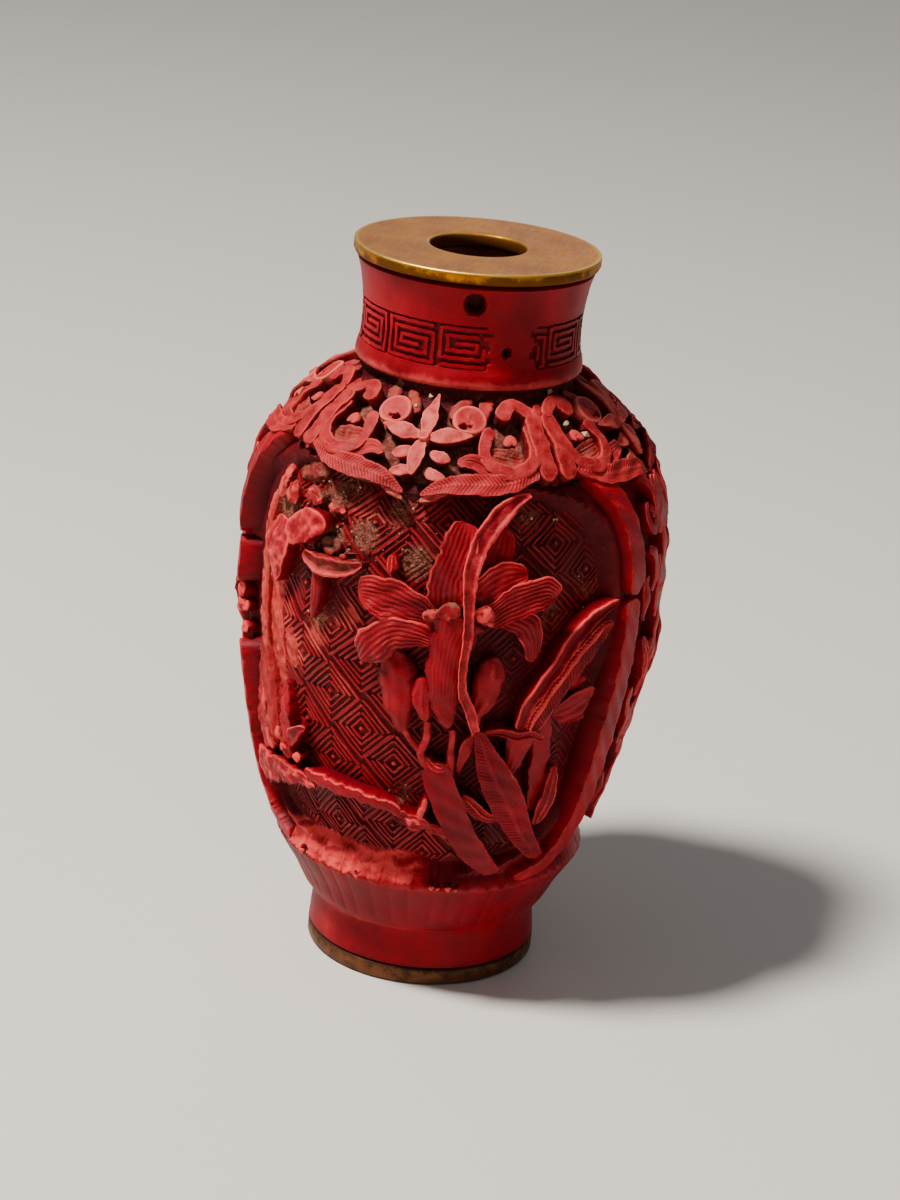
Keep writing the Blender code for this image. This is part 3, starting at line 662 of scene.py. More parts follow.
def makeVessel():
    fine = np.arange(bottle["frontFrom"], bottle["frontTo"] + 0.01, bottle["frontStep"])
    rest = 360.0 - (fine[-1] - fine[0])
    coarse = fine[-1] + np.linspace(0.0, rest, int(rest / bottle["backStep"]) + 1)[1:-1]
    angles = np.concatenate([fine, coarse])
    zero = np.zeros_like(angles)
    points, worn, deep, dusty = [], [], [], []
    for height, radius, kind in stations:
        around = zero + height
        if radius is None:
            row, mark, hollow = rowMakers[kind](angles, around)
        else:
            row = onTurn(angles, zero + radius, around)
            mark = zero + (0.35 if kind == "edge" else 0.0)
            # rows under the foot, in the collar's gap below the neck and inside are painted dark as shade
            hollow = zero + {"turned": 0.2, "edge": 0.0}.get(kind, 0.9)
        grime = spotsAt(dustSpots, angles, around)
        grime = grime + bottle["friezeGrime"] * band(52.4, 53.4, 58.0, 58.6, around)
        points.append(row)
        worn.append(mark)
        deep.append(np.clip(hollow, 0.0, 1.0))
        dusty.append(grime + 0.75 * band(5.8, 5.95, 6.1, 6.3, around) * leftOf(angles, -12.0, 26.0))
    count = len(angles)
    # two middles close the underside and the floor inside; they are deep, painted dark as shade, and neither
    # worn nor dusty
    stacked = np.vstack(points + [[(0, 0, stations[0][0]), (0, 0, stations[-1][0])]])
    worn, deep, dusty = (np.append(np.concatenate(marks), [end, end])
                         for marks, end in ((worn, 0), (deep, 1), (dusty, 0)))
    stock = newStock()
    low = count * len(stations)
    addBody(stock, stacked, gridFaces(len(stations), count), endFans(len(stations), count, low, low + 1),
            worn, deep, dusty)
    piece = makePiece("lacquerVessel", stock, lacquer["Ground"], sharp=50.0)
    for name in ("Turned", "Inside", "Carved"):
        piece.data.materials.append(lacquer[name])
    ground, turned, within, carved = range(4)
    finishes = {"turned": turned, "edge": carved, "neck": turned, "foot": turned, "collar": ground}
    byRow = []
    for height, radius, kind in stations:
        if kind == "carved":
            above = ground if height > bottle["groundFrom"] else carved
            byRow.append(above if height > bottle["ledgeFrom"] else turned)
        else:
            byRow.append(finishes.get(kind, within))
    index = np.repeat([within if within in (a, b) else b for a, b in zip(byRow, byRow[1:])], count)
    index = np.concatenate([index, np.full(2 * count, within)])
    piece.data.polygons.foreach_set("material_index", index.astype(np.int32))


makeVessel()
print("vessel made")


def ridgeStrip(stock, line, width, tall, worn=0.8, taper=0.75, dark=0.0):
    # closed ridge along a line of (angle, height, out) places; tall is a number or one for each place
    line = np.asarray(line, float)
    table = neck if line[:, 1].mean() > 59.5 else skin
    centre = onSkin(line[:, 0], line[:, 1], line[:, 2], table)
    normal = skinNormal(line[:, 0], line[:, 1], table)
    along = np.gradient(centre, axis=0)
    along /= np.linalg.norm(along, axis=1)[:, None] + 1e-9
    side = np.cross(along, normal)
    # corners keep their width by reaching further out
    steps = np.diff(centre, axis=0)
    steps /= np.linalg.norm(steps, axis=1)[:, None] + 1e-9
    turnCos = np.ones(len(line))
    turnCos[1:-1] = np.sqrt(np.clip((1 + (steps[1:] * steps[:-1]).sum(1)) / 2, 0.25, 1.0))
    half = (width / 2 / turnCos)[:, None]
    tall = np.broadcast_to(tall, len(line))[:, None]
    sections = [centre - side * half, centre - side * half * taper + normal * tall]
    sections += [centre + side * half * taper + normal * tall, centre + side * half]
    points = np.stack(sections, 1).reshape(-1, 3)
    count = len(line)
    last = count * 4 - 1
    quads = gridFaces(count, 4).tolist() + [[0, 1, 2, 3], [last, last - 1, last - 2, last - 3]]
    top = np.tile([0.0, 1.0, 1.0, 0.0], count)
    worn, dark = (np.repeat(np.broadcast_to(mark, count), 4) for mark in (worn, dark))
    # the sides get the deep mark as painted shade, and dark lays painted shade over the whole ridge
    addBody(stock, points, quads, [], worn * top, np.maximum(0.9 * (1.0 - top), dark))


def spacedLine(corners, step):
    # straight runs between corners, with points no further apart than step
    corners = np.array(corners, float)
    made = [corners[:1]]
    for a, b in zip(corners, corners[1:]):
        count = max(1, int(np.ceil(np.abs((b - a) / step).max())))
        made.append(a + (b - a) * np.linspace(0, 1, count + 1)[1:, None])
    return np.vstack(made)


fret = {
    "bottom": 61.22,
    "height": 3.36,
    "unit": 30.0,            # degrees from one square spiral to the next
    "firstUnit": -34.0,
    "gap": 3.9,              # degrees between neighbours
    "pitch": 0.67,           # from line to line, in mm
    "turns": 3,
    "ridge": 0.36,
    "sunk": 0.05,            # how far the ridges reach into the ground
}


def makeFret():
    stock = newStock()
    degree = np.radians(1.0) * 10.2
    wide, tall = (fret["unit"] - fret["gap"]) * degree, fret["height"]
    for unit in range(12):
        start = fret["firstUnit"] + unit * fret["unit"] + fret["gap"] / 2
        # a square spiral, wound inwards from its top right corner
        corners = []
        for turn in range(fret["turns"]):
            inset = turn * fret["pitch"]
            before = max(turn - 1, 0) * fret["pitch"]
            corners += [(wide - before, tall - inset), (inset, tall - inset)]
            corners += [(inset, inset), (wide - inset, inset)]
        if unit % 2:
            corners = [(wide - x, tall - y) for x, y in corners]
        line = np.array([(start + x / degree, fret["bottom"] + y, 0.0) for x, y in corners])
        line = spacedLine(line, np.array((3.0, 1.2, 9.0)))
        line[:, 1] += 0.035 * np.sin(line[:, 0] * 1.3 + unit) + 0.02 * np.sin(line[:, 0] * 3.1)
        line[:, 0] += 0.25 * np.sin(line[:, 1] * 3.7 + unit)
        # the lines run out where the carver left the neck plain
        shown = fretRecess(line[:, 0], np.clip(line[:, 1], 61.1, 64.8)) > 0.35
        line[:, 2] = -bottle["fretDepth"] - fret["sunk"]
        for part in np.split(np.arange(len(line)), np.flatnonzero(np.diff(shown.astype(int))) + 1):
            if shown[part[0]] and len(part) > 1:
                rise = bottle["fretDepth"] + fret["sunk"] + 0.012 * np.sin(line[part, 0] * 2.0)
                ridgeStrip(stock, line[part], fret["ridge"], rise, worn=0.36, taper=0.86)
    makePiece("fretRidges", stock, lacquer["Turned"])


makeFret()
print("fret made")


diaper = {
    "cell": 11.25,           # half a diamond's width, degrees
    "cellHeight": 3.5,       # half its height, mm
    "centre": 24.4,
    "tilt": 0.045,           # the cutter's lines climb a little, mm per degree
    "ridge": 0.3,
    "tall": 0.32,
    "sunk": 0.05,
    "top": 53.2,
    "knob": 0.34,
    "step": (2.4, 0.8),      # between a ridge's points, degrees and mm
}


def diaperRidge(stock, middle, corners, centre, seed, step):
    # one side of a diamond; each is its own cut, so corners cross or fall short a little
    short = 0.025 + 0.045 * math.sin(seed)
    first, second = np.array(corners)
    t = np.linspace(short, 1 - short, len(spacedLine(corners, step)))[:, None]
    line = first * (1 - t) + second * t
    along = line[:, 0] + centre[0]
    height = line[:, 1] + centre[1] + 0.05 * np.sin(along * 0.9 + seed) + 0.03 * math.sin(seed * 3.1)
    keep = (height > ledgeTop(along) - 0.2) & (height < diaper["top"])
    keep = keep & (np.abs(along) < panelEdge(height) - 1.5)
    if keep.sum() < 2:
        return
    along, height = along[keep], height[keep]
    rubbed = 0.5 + 0.5 * ripple(onSkin(along + middle, height, 0 * along), 2.2, 6)
    # under a painted shadow the ridge is painted darker as shade, shows less rubbed colour and is cut lower
    castShadow = shadowAt(along + middle, height)
    bare = spotsAt(rubbedSpots, along + middle, height)
    share = 0.7 + 0.42 * rubbed - 0.55 * spotsAt(dustSpots, along, height) - 0.5 * castShadow - 0.4 * bare
    out = 0 * along - bottle["panelDepth"] - diaper["sunk"]
    wear = (0.18 + 0.4 * math.sin(seed * 1.3) ** 2) * (1 - castShadow) + 0.8 * bare
    width = diaper["ridge"] * (0.9 + 0.2 * math.sin(seed * 2))
    tall = diaper["tall"] * np.clip(share, 0.2, 1.1)
    ridgeStrip(stock, np.stack([along + middle, height, out], -1), width, tall, wear, 0.68, 0.9 * castShadow)


def makeDiaper(name, middle, lines, coarseness):
    # lines counts the ridges between a diamond's middle and its edge
    stock = newStock()
    step = np.array(diaper["step"]) * coarseness
    for column in range(-7, 8):
        for row in range(-3, 6):
            shift = diaper["cellHeight"] if column % 2 else 0.0
            angle = column * diaper["cell"]
            height = diaper["centre"] + row * 2 * diaper["cellHeight"] + shift + diaper["tilt"] * angle
            if height > 57 or height < 10 or abs(angle) > 80:
                continue
            for ring in range(1, lines):
                size = (ring + 0.5) / lines
                wide, tall = diaper["cell"] * size, diaper["cellHeight"] * size
                corners = [(-wide, 0), (0, tall), (wide, 0), (0, -tall), (-wide, 0)]
                for side in range(4):
                    seed = column * 17.1 + row * 5.3 + ring * 2.9 + side * 1.7
                    diaperRidge(stock, middle, corners[side:side + 2], (angle, height), seed, step)
            # the little square left in the middle
            if abs(angle) < panelEdge(np.array(height)) and ledgeTop(np.array(angle)) < height < 53.0:
                addKnob(stock, angle + middle, height, diaper["knob"], -bottle["panelDepth"], 0.3, 4, 0.7)
    makePiece(name, stock, lacquer["Ridges"])


def addKnob(stock, angle, height, radius, out, tall, sides, worn):
    # small faceted lump on the ground
    turn = np.arange(sides) * 2 * math.pi / sides
    degree = np.radians(1.0) * profileAt(skin, np.array([height]))[0]
    rings = []
    for share, rise in ((1.0, -0.08), (0.9, 0.6 * tall), (0.45, tall)):
        x, y = radius * share * np.cos(turn), radius * share * np.sin(turn)
        rings.append(onSkin(angle + x / degree, height + y, out + rise))
    top = onSkin(np.array([angle]), np.array([height]), out + tall)
    bottom = onSkin(np.array([angle]), np.array([height]), out - 0.1)
    points = np.vstack(rings + [top, bottom])
    mark = np.array([0.0] * sides + [0.5] * sides + [1.0] * sides + [1.0, 0.0])
    # the knob's lower sides are painted dark as shade
    addBody(stock, points, gridFaces(3, sides), endFans(3, sides, 3 * sides + 1, 3 * sides),
            worn * mark, 0.8 * (1 - mark))


makeDiaper("diaperFront", 0.0, lines=5, coarseness=1.0)
makeDiaper("diaperBack", 180.0, lines=3, coarseness=1.4)
print("diaper grounds made")


# A carved form follows rows of (angle, height, lift above the ground, half width). What its top looks like:
plainForm = {
    "ribs": 0,               # lengthwise ribs
    "ribDepth": 0.09,
    "cup": 0.0,              # how much the edges rise
    "round": 0.0,            # 1 makes the top half round
    "channel": 0.0,          # depth of a hollow between two raised edges
    "midrib": 0.0,           # height of a rib along the middle
    "midribAt": 0.0,         # -1 and 1 are the edges
    "hatch": 0.0,            # depth of slanting cuts
    "hatchPitch": 0.4,
    "slant": 1.0,
    "bevel": 0.04,           # how far the edges are rounded down
    "ragged": 0.05,          # how far the edges are chipped, mm
    "tips": (1.0, 1.0),      # roundness of the first and last end
    "under": 0.72,           # width at the foot of the walls, as a share of the top's
    "wobble": 0.05,          # how uneven the width is, as a share of it
    "edgeWear": 0.85,
    "topWear": 0.3,
    "rough": 0.0,            # depth of broken, scraped hollows in the top
    "lowerEdge": 1.0,        # how much rubbed colour the second edge gets, as a share of the first; a low share is painted shade on a lower edge
    "downShade": 0.5,           # and how much less rubbed colour an edge that looks down gets, as painted shade
    "wallShade": 0.0,         # how much painted shade darkens the walls
    "topDark": 0.0,          # and the top
    "dusty": 0.0,            # dust that lies all over it
    "across": 13,            # points across the top
    "step": 0.17,            # and between sections, mm
    "thick": 0.0,            # 0 reaches down into the ground
}
forms = {
    "petal": {"ribs": 8, "cup": 0.2, "under": 0.5, "across": 41, "edgeWear": 0.9, "topWear": 0.56},
    "bud": {
        "round": 0.7, "bevel": 0.0, "under": 0.8, "ribs": 3, "ribDepth": 0.05, "across": 21, "edgeWear": 0.2,
        "topWear": 0.42},
    "tube": {
        "round": 0.55, "ribs": 9, "ribDepth": 0.11, "under": 0.8, "across": 41, "bevel": 0.0, "edgeWear": 0.4,
        "topWear": 0.45},
    "stem": {"round": 0.8, "bevel": 0.0, "under": 0.6, "across": 9, "edgeWear": 0.3, "topWear": 0.5},
    "channel": {"channel": 0.34, "under": 0.5, "across": 21, "edgeWear": 1.0, "topWear": 0.45, "bevel": 0.05},
    "leaf": {
        "midrib": 0.16, "hatch": 0.09, "cup": 0.12, "under": 0.5, "across": 25, "step": 0.11, "edgeWear": 0.9,
        "topWear": 0.4},
    "slab": {"bevel": 0.06, "under": 0.86},
    "lump": {"round": 0.5, "bevel": 0.0, "wobble": 0.16, "under": 1.0, "topWear": 0.4},
    "rock": {
        "round": 0.12, "wobble": 0.14, "rough": 0.1, "under": 0.9, "across": 21, "topWear": 0.5,
        "ragged": 0.12},
}


def sizeOf(half):
    # narrow forms are cut more shallowly
    return np.clip(half / 0.7, 0.0, 1.0)[:, None]


def sectionsAlong(rows, form, ground, seed):
    # where the sections stand, their half widths and lifts, and the three directions there
    rough = curveThrough(rows, 20)
    path = onSkin(rough[:, 0], rough[:, 1], rough[:, 2] - ground)
    run = np.append(0.0, np.cumsum(np.linalg.norm(np.diff(path, axis=0), axis=1)))
    count = max(7, int(run[-1] / form["step"]) + 1)
    # sections are closer together at the rounded tips
    firstTip, lastTip = (max(end * share, 0.08) for end, share in zip(rough[[0, -1], 3], form["tips"]))
    shares = np.array((0.02, 0.1, 0.25, 0.5))
    at = np.concatenate([np.linspace(0, run[-1], count), firstTip * shares, run[-1] - lastTip * shares])
    at = np.unique(np.round(np.clip(at, 0, run[-1]), 3))
    at = at[np.append(True, np.diff(at) > 0.012)]
    angle, height, lift, half = (np.interp(at, run, column) for column in rough.T[:4])
    tip = np.clip(at / firstTip, 0, 1), np.clip((run[-1] - at) / lastTip, 0, 1)
    half = half * np.sqrt(1 - (1 - tip[0]) ** 2 + 0.004) * np.sqrt(1 - (1 - tip[1]) ** 2 + 0.004)
    lift = lift + 0.06 * np.sin(at * 1.7 + seed) * min(1.0, form["wobble"] * 12)
    top = onSkin(angle, height, lift - ground)
    along = np.gradient(top, at, axis=0)
    along /= np.linalg.norm(along, axis=1)[:, None]
    normal = skinNormal(angle, height)
    normal = normal - (normal * along).sum(1)[:, None] * along
    normal /= np.linalg.norm(normal, axis=1)[:, None]
    side = np.cross(along, normal)
    return at, half, lift, top, side, normal, run[-1]


def topShape(form, u, at, half, length, seed):
    # how far the top rises over its level, how near each place is to a crest, and the middle rib
    size = sizeOf(half)
    away = np.abs(u)[None, :]
    across = np.repeat(u[None, :], len(at), 0)
    rise = form["cup"] * away**2 * size - form["round"] * half[:, None] * (1 - np.sqrt(1 - 0.97 * away**2))
    rise = rise - form["bevel"] * smooth(0.8, 1.0, away) * np.clip(half / 0.3, 0.2, 1.0)[:, None]
    rise = rise - form["channel"] * (1 - smooth(0.4, 0.78, away)) * size
    ridge = form["midrib"] * (1 - smooth(0.0, 0.3, np.abs(u - form["midribAt"])))[None, :] * size
    rise = rise + ridge
    crest = np.ones_like(rise)
    if form["ribs"]:
        drift = 0.35 * np.sin(at * 0.9 + seed)[:, None] / form["ribs"]
        crest = 0.5 + 0.5 * np.cos(math.pi * form["ribs"] * (across + drift))
        runOut = (smooth(0.0, 1.1, at) * smooth(0.0, 1.1, length - at))[:, None]
        rise = rise - form["ribDepth"] * (1 - crest) ** 1.5 * size * runOut * (1 - smooth(0.9, 1.0, away))
    if form["hatch"]:
        slanted = form["slant"] * np.abs(across - form["midribAt"]) * half[:, None] * 2.2
        phase = at[:, None] / form["hatchPitch"] + slanted
        cut = (0.5 + 0.5 * np.cos(2 * math.pi * phase)) ** 2
        rise = rise - form["hatch"] * cut * size * (1 - smooth(0.85, 1.0, away)) * (1 - (ridge > 0.04))
        crest = crest * (1 - 0.7 * cut)
    return rise, crest, ridge


def raggedHalves(form, at, half, seed):
    # half widths to the left and right, uneven and chipped
    leftHalf = half * (1 + form["wobble"] * (np.sin(2.1 * at + seed) + 0.6 * np.sin(5.3 * at + 2 * seed)))
    rightHalf = half * (1 + form["wobble"] * (np.sin(2.5 * at + 3 * seed) + 0.6 * np.sin(4.7 * at + seed)))
    for edgeHalf, shift in ((leftHalf, 0.0), (rightHalf, 50.0)):
        coarse, fine = (ripple(np.stack([at / size, at * 0 + seed, at * 0 + shift], -1), 1.0)
                        for size in (0.55, 0.22))
        edgeHalf += form["ragged"] * (coarse + fine * 0.6) * np.clip(half / 0.5, 0.1, 1.0)
    return leftHalf, rightHalf


def sectionMarks(form, u, rise, crest, ridge, side):
    # how worn and how deep every point of the sections is, over the top and down both walls; the deep mark
    # paints shade down the walls, in the top's hollows and on the sides of rounded tops
    away = np.abs(u)[None, :]
    wallDeep = np.clip(np.array((0.25, 0.6, 0.9, 1.0)) + form["wallShade"], 0, 1)
    topDeep = np.clip(-(rise - rise.max(1)[:, None] * 0.5) / 0.5, 0, 0.6)
    topDeep = topDeep * (1 - 0.75 * smooth(0.7, 1.0, away))
    if form["round"]:
        topDeep = 0.5 * smooth(0.6, 1.0, away) + 0 * rise
    topDeep = np.clip(topDeep + form["topDark"], 0, 1)
    deep = np.hstack([topDeep, np.repeat([[*wallDeep, *wallDeep[::-1]]], len(rise), 0)])
    edge = smooth(0.78, 1.0, away)
    # an edge that looks down shows less rubbed colour, as painted shade
    lookUp = side[:, 2:3]
    firstEdgeWearAndShade = form["edgeWear"] * (1 - form["downShade"] * smooth(0.0, 0.8, lookUp))
    secondEdgeWearAndShade = form["edgeWear"] * form["lowerEdge"] * (1 - form["downShade"] * smooth(0.0, 0.8, -lookUp))
    topWorn = (form["topWear"] * crest + ridge * 3.0) * (1 - edge)
    topWorn = topWorn + np.where(u > 0, secondEdgeWearAndShade, firstEdgeWearAndShade) * edge
    wallShare = np.array((0.45, 0.0, 0.0, 0.0))
    worn = np.hstack([topWorn * (1 - 0.6 * topDeep), secondEdgeWearAndShade * wallShare, firstEdgeWearAndShade * wallShare[::-1]])
    return worn, deep


def carve(stock, formName, rows, ground=bottle["panelDepth"], **changes):
    form = {**plainForm, **forms[formName], **changes}
    seed = rows[0][0] * 0.7 + rows[0][1] * 1.3
    at, half, lift, top, side, normal, length = sectionsAlong(rows, form, ground, seed)
    u = np.linspace(-1, 1, form["across"])
    rise, crest, ridge = topShape(form, u, at, half, length, seed)
    leftHalf, rightHalf = raggedHalves(form, at, half, seed)
    offset = np.where(u < 0, leftHalf[:, None], rightHalf[:, None]) * u[None, :]
    rise = rise + 0.05 * np.sin(offset * 3.1 + at[:, None] * 2.3 + seed) * sizeOf(half)
    if form["rough"]:
        spread = top[:, None, :] + offset[..., None] * side[:, None, :]
        broken = ripple(spread, 0.75, 14) + 0.6 * ripple(spread, 0.32, 15)
        rise = rise + form["rough"] * broken
        crest = np.clip(1.0 + (0.6 * broken - 0.25) * min(1.0, form["rough"] / 0.1), 0.0, 1.4)
    # the walls go in under the edge and down into the ground
    base = np.full_like(at, form["thick"]) if form["thick"] else lift + 0.35
    shares = np.array((0.12, 0.4, 0.7, 1.0))
    narrowing = 1 - (1 - form["under"]) * smooth(0.0, 0.65, shares)
    wallOut = rise[:, -1:] * (1 - shares) - base[:, None] * shares
    wallLeft = rise[:, :1] * (1 - shares) - base[:, None] * shares
    chipped = 1 - smooth(0.0, 0.5, shares)
    rightWall = (half[:, None] * (1 - chipped) + rightHalf[:, None] * chipped) * narrowing
    leftWall = (half[:, None] * (1 - chipped) + leftHalf[:, None] * chipped) * narrowing
    lateral = np.hstack([offset, rightWall, -leftWall[:, ::-1]])
    outward = np.hstack([rise, wallOut, wallLeft[:, ::-1]])
    points = top[:, None, :] + lateral[..., None] * side[:, None, :] + outward[..., None] * normal[:, None, :]
    sides = points.shape[1]
    worn, deep = sectionMarks(form, u, rise, crest, ridge, side)
    points = np.vstack([points.reshape(-1, 3), points[[0, -1]].mean(1)])
    worn = np.append(worn.ravel(), (form["edgeWear"] * 0.6, form["edgeWear"] * 0.6))
    deep = np.append(deep.ravel(), (0.3, 0.3))
    angles = np.degrees(np.arctan2(points[:, 0], -points[:, 1]))
    dust = spotsAt(dustSpots, angles, points[:, 2]) * (0.3 + 0.7 * deep) + form["dusty"]
    last = len(at) * sides
    fans = endFans(len(at), sides, last, last + 1)
    addBody(stock, points, gridFaces(len(at), sides), fans, worn, deep, dust)


def nearby(angle, height, x, y):
    # the angle and height of a place x to the right of and y up the skin from another, in mm
    radius = profileAt(skin, np.asarray(height, float))
    outward = skinLean(np.asarray(height, float), skin)[0]
    return angle + np.degrees(x / radius), height + y * outward


def carveDisc(stock, angle, height, radius, lift, ground, holes=(), worn=0.6, dusty=0.0):
    # round boss, with drilled holes given as x, y, radius and depth
    around = max(20, int(radius * 26))
    turn = np.arange(around) * 2 * math.pi / around
    shares = np.append(np.linspace(0.06, 0.92, max(4, int(radius * 8))), (0.98, 1.0, 0.97, 0.94))
    falls = np.append(np.zeros(len(shares) - 3), (0.12, 0.5, 1.0))
    points, wear, deep = [], [], []
    for share, fall in zip(shares, falls):
        x, y = radius * share * np.cos(turn), radius * share * np.sin(turn)
        out = 0.03 * np.cos(3 * turn + 5 * share)
        hollow = 0 * turn
        for holeX, holeY, holeRadius, holeDepth in holes:
            inHole = 1 - smooth(holeRadius - 0.14, holeRadius + 0.06, np.hypot(x - holeX, y - holeY))
            out = out - holeDepth * inHole
            hollow = np.maximum(hollow, inHole)
        out = out - 0.1 * smooth(0.9, 1.0, share) - fall * (lift + 0.3)
        spotAngle, spotHeight = nearby(angle, height, x, y)
        points.append(onSkin(spotAngle, spotHeight, lift - ground + out))
        wear.append((worn * (0.55 + 0.45 * smooth(0.7, 0.95, share)) * (1 - fall)) * (1 - hollow))
        # the holes and the edge falling to the ground are painted dark as shade
        deep.append(np.maximum(hollow, fall) + 0 * turn)
    rings = len(points)
    last = rings * around
    points = np.vstack(points + [points[0].mean(0), onSkin(angle, height, -ground - 0.3).reshape(3)])
    wear = np.append(np.concatenate(wear), (worn * 0.5, 0))
    deep = np.append(np.concatenate(deep), (deep[0].max(), 1))
    addBody(stock, points, gridFaces(rings, around), endFans(rings, around, last, last + 1), wear, deep,
            spotsAt(dustSpots, angle, height) * deep + dusty)


def stroke(formName, *rows, **changes):
    return formName, rows, changes


def placed(rows, middle, side=1):
    # the rows counted from another middle, mirrored where side is -1
    return [(middle + side * angle, *rest) for angle, *rest in rows]


def carvedPiece(name, *strokes, finish="Carved", **shared):
    stock = newStock()
    for formName, rows, changes in strokes:
        carve(stock, formName, rows, **{**shared, **changes})
    makePiece(name, stock, lacquer[finish])


# The lily: petals, buds, stems and long leaves. Rows are angle, height, lift and half width
lily = {
    "petalLeft": stroke("petal", (10.5, 40.2, 1.4, 0.7), (5, 41.1, 1.9, 1.6), (-1, 41.9, 2.2, 1.95),
        (-6.5, 42.2, 2.35, 1.75), (-10.9, 42, 2.1, 1.1), tips=(1.0, 0.7), ragged=0.08),
    "petalCurled": stroke("petal", (11.5, 38.2, 1.6, 0.6), (5, 38.9, 2.3, 1.25), (-1, 38.7, 2.6, 1.5),
        (-6, 37.2, 2.55, 1.75), (-9.2, 35.6, 2, 1.2), ribs=7, cup=-0.3),
    "petalDrooping": stroke("bud", (0, 37, 1.6, 1.2), (0.6, 34.8, 2, 1.75), (1.6, 31.8, 2.1, 1.5),
        (3, 28.8, 1.7, 0.6), ribs=3, ribDepth=0.07, topWear=0.15),
    "flowerTube": stroke("tube", (16.8, 41, 2.2, 2.75), (15.8, 39.9, 2.45, 2.4), (14.6, 38, 2.4, 1.9),
        (13.8, 35.4, 2.35, 1.7), (14.2, 32.6, 2.3, 1.35), (16, 30, 2.1, 0.5), round=0.5, ribs=10,
        ribDepth=0.05, ragged=0.1, tips=(0.12, 1.4), topWear=0.2, edgeWear=0.2, topDark=0.16),
    "budSmall": stroke("bud", (8.2, 34.8, 1.9, 0.6), (8, 32.6, 2.1, 1), (9.8, 30.4, 1.9, 0.45)),
    "petalUpper": stroke("petal", (12.6, 40.4, 1.1, 1.5), (12.2, 43, 1.7, 1.75), (13.2, 45.6, 2, 1.6),
        (15.2, 48, 2.25, 1.5), (16.6, 49.6, 2.1, 1.25), ribs=7, topWear=0.3, tips=(1.0, 0.4), ragged=0.08),
    "petalBehind": stroke("petal", (24, 44.4, 0.9, 1.1), (25.6, 47.2, 1.3, 1.5), (27, 49.4, 1.2, 0.9),
        topWear=0.15, edgeWear=0.5, ribs=6),
    "petalUpperRight": stroke("petal", (20, 42.2, 1.2, 1.1), (24.5, 43.9, 1.8, 1.65), (29, 44.9, 2, 1.5),
        (33.8, 45.2, 1.9, 0.7), ribs=6),
    "petalRight": stroke("petal", (23.5, 40.3, 1.4, 0.9), (28.5, 41.9, 2, 1.45), (34, 43.1, 2.4, 1.6),
        (38.5, 43.5, 2.55, 1.4), (41.8, 42.9, 2.4, 0.95), ribs=8, ragged=0.08, tips=(1.0, 0.8)),
    "petalCurledRight": stroke("petal", (25.5, 40.3, 1.3, 0.6), (30.5, 40.6, 1.9, 1),
        (34.6, 40.1, 2.15, 1.25), (36.8, 38.6, 2.1, 1), (37.2, 36.6, 1.8, 0.4), ribs=5, cup=-0.2,
        topWear=0.3),
    "budRight": stroke("bud", (27.2, 37.2, 1.9, 0.8), (26.4, 35.4, 2.1, 1.4), (25.2, 32.9, 2.05, 1.25),
        (23.6, 30.8, 1.8, 0.4), ribs=2, ribDepth=0.12),
    "leafCrossing": stroke("channel", (24, 29.3, 2.2, 0.35), (21.3, 32, 2.5, 0.5), (18.8, 34, 2.6, 0.42),
        (18.3, 36.5, 2.7, 0.38), (18.8, 39.5, 2.8, 0.46), (18.5, 42, 2.75, 0.5), (18.3, 45, 2.65, 0.7),
        (20.5, 48, 2.65, 0.85), (25.5, 50.3, 2.65, 0.9), (31, 51.6, 2.5, 0.55), (34.8, 51.9, 2.4, 0.15),
        channel=0.21, topWear=0.58),
    "leafRightInner": stroke("channel", (36.2, 29.7, 2, 0.55), (37.5, 32.3, 2.3, 0.6),
        (40.5, 34.3, 2.5, 0.65), (44.5, 36.3, 2.5, 0.7), (48.5, 38.4, 2.5, 0.8), (53.5, 39.8, 2.4, 0.7),
        (59, 40.7, 2.3, 0.5), (64.8, 41.2, 2.2, 0.2)),
    "leafRightOuter": stroke("leaf", (40, 29.3, 2, 0.8), (42, 31.6, 2.3, 0.95), (45.5, 33.8, 2.4, 1.05),
        (50, 35.9, 2.4, 1.1), (54.5, 37.5, 2.4, 1), (59, 38.7, 2.3, 0.8), (62.8, 39.3, 2.2, 0.3), midrib=0.3,
        midribAt=-0.5, hatch=0.14, cup=0.0, topWear=0.55),
    "leafBroadLeft": stroke("petal", (12.4, 26, 2, 1), (14, 25, 2.15, 1.35), (16.2, 23.4, 2.25, 1.4),
        (19.2, 21.2, 2.3, 1.4), (23.4, 18.6, 2.3, 1.3), (29, 16.2, 2.2, 1.2), (35, 14.4, 2.1, 0.8),
        (40, 13.6, 2, 0.3), ribs=2, ribDepth=0.04, cup=0.16, topWear=0.1, edgeWear=0.5, across=21,
        wobble=0.02, tips=(0.5, 2.0), topDark=0.26, ragged=0.015),
    "leafBroadRight": stroke("leaf", (24.5, 29.8, 2.3, 0.4), (27.5, 27.2, 2.4, 1.1), (31, 24.9, 2.5, 1.55),
        (35.5, 22.4, 2.5, 1.65), (39.5, 20.2, 2.4, 1.4), (44, 18, 2.4, 1.1), (50, 16, 2.3, 0.8),
        (56, 14.6, 2.1, 0.35), hatch=0.1, midrib=0.06, cup=0.1, topWear=0.12, edgeWear=0.6, topDark=0.2,
        ragged=0.02, wobble=0.02),
}
for name, part in lily.items():
    carvedPiece(name, part)

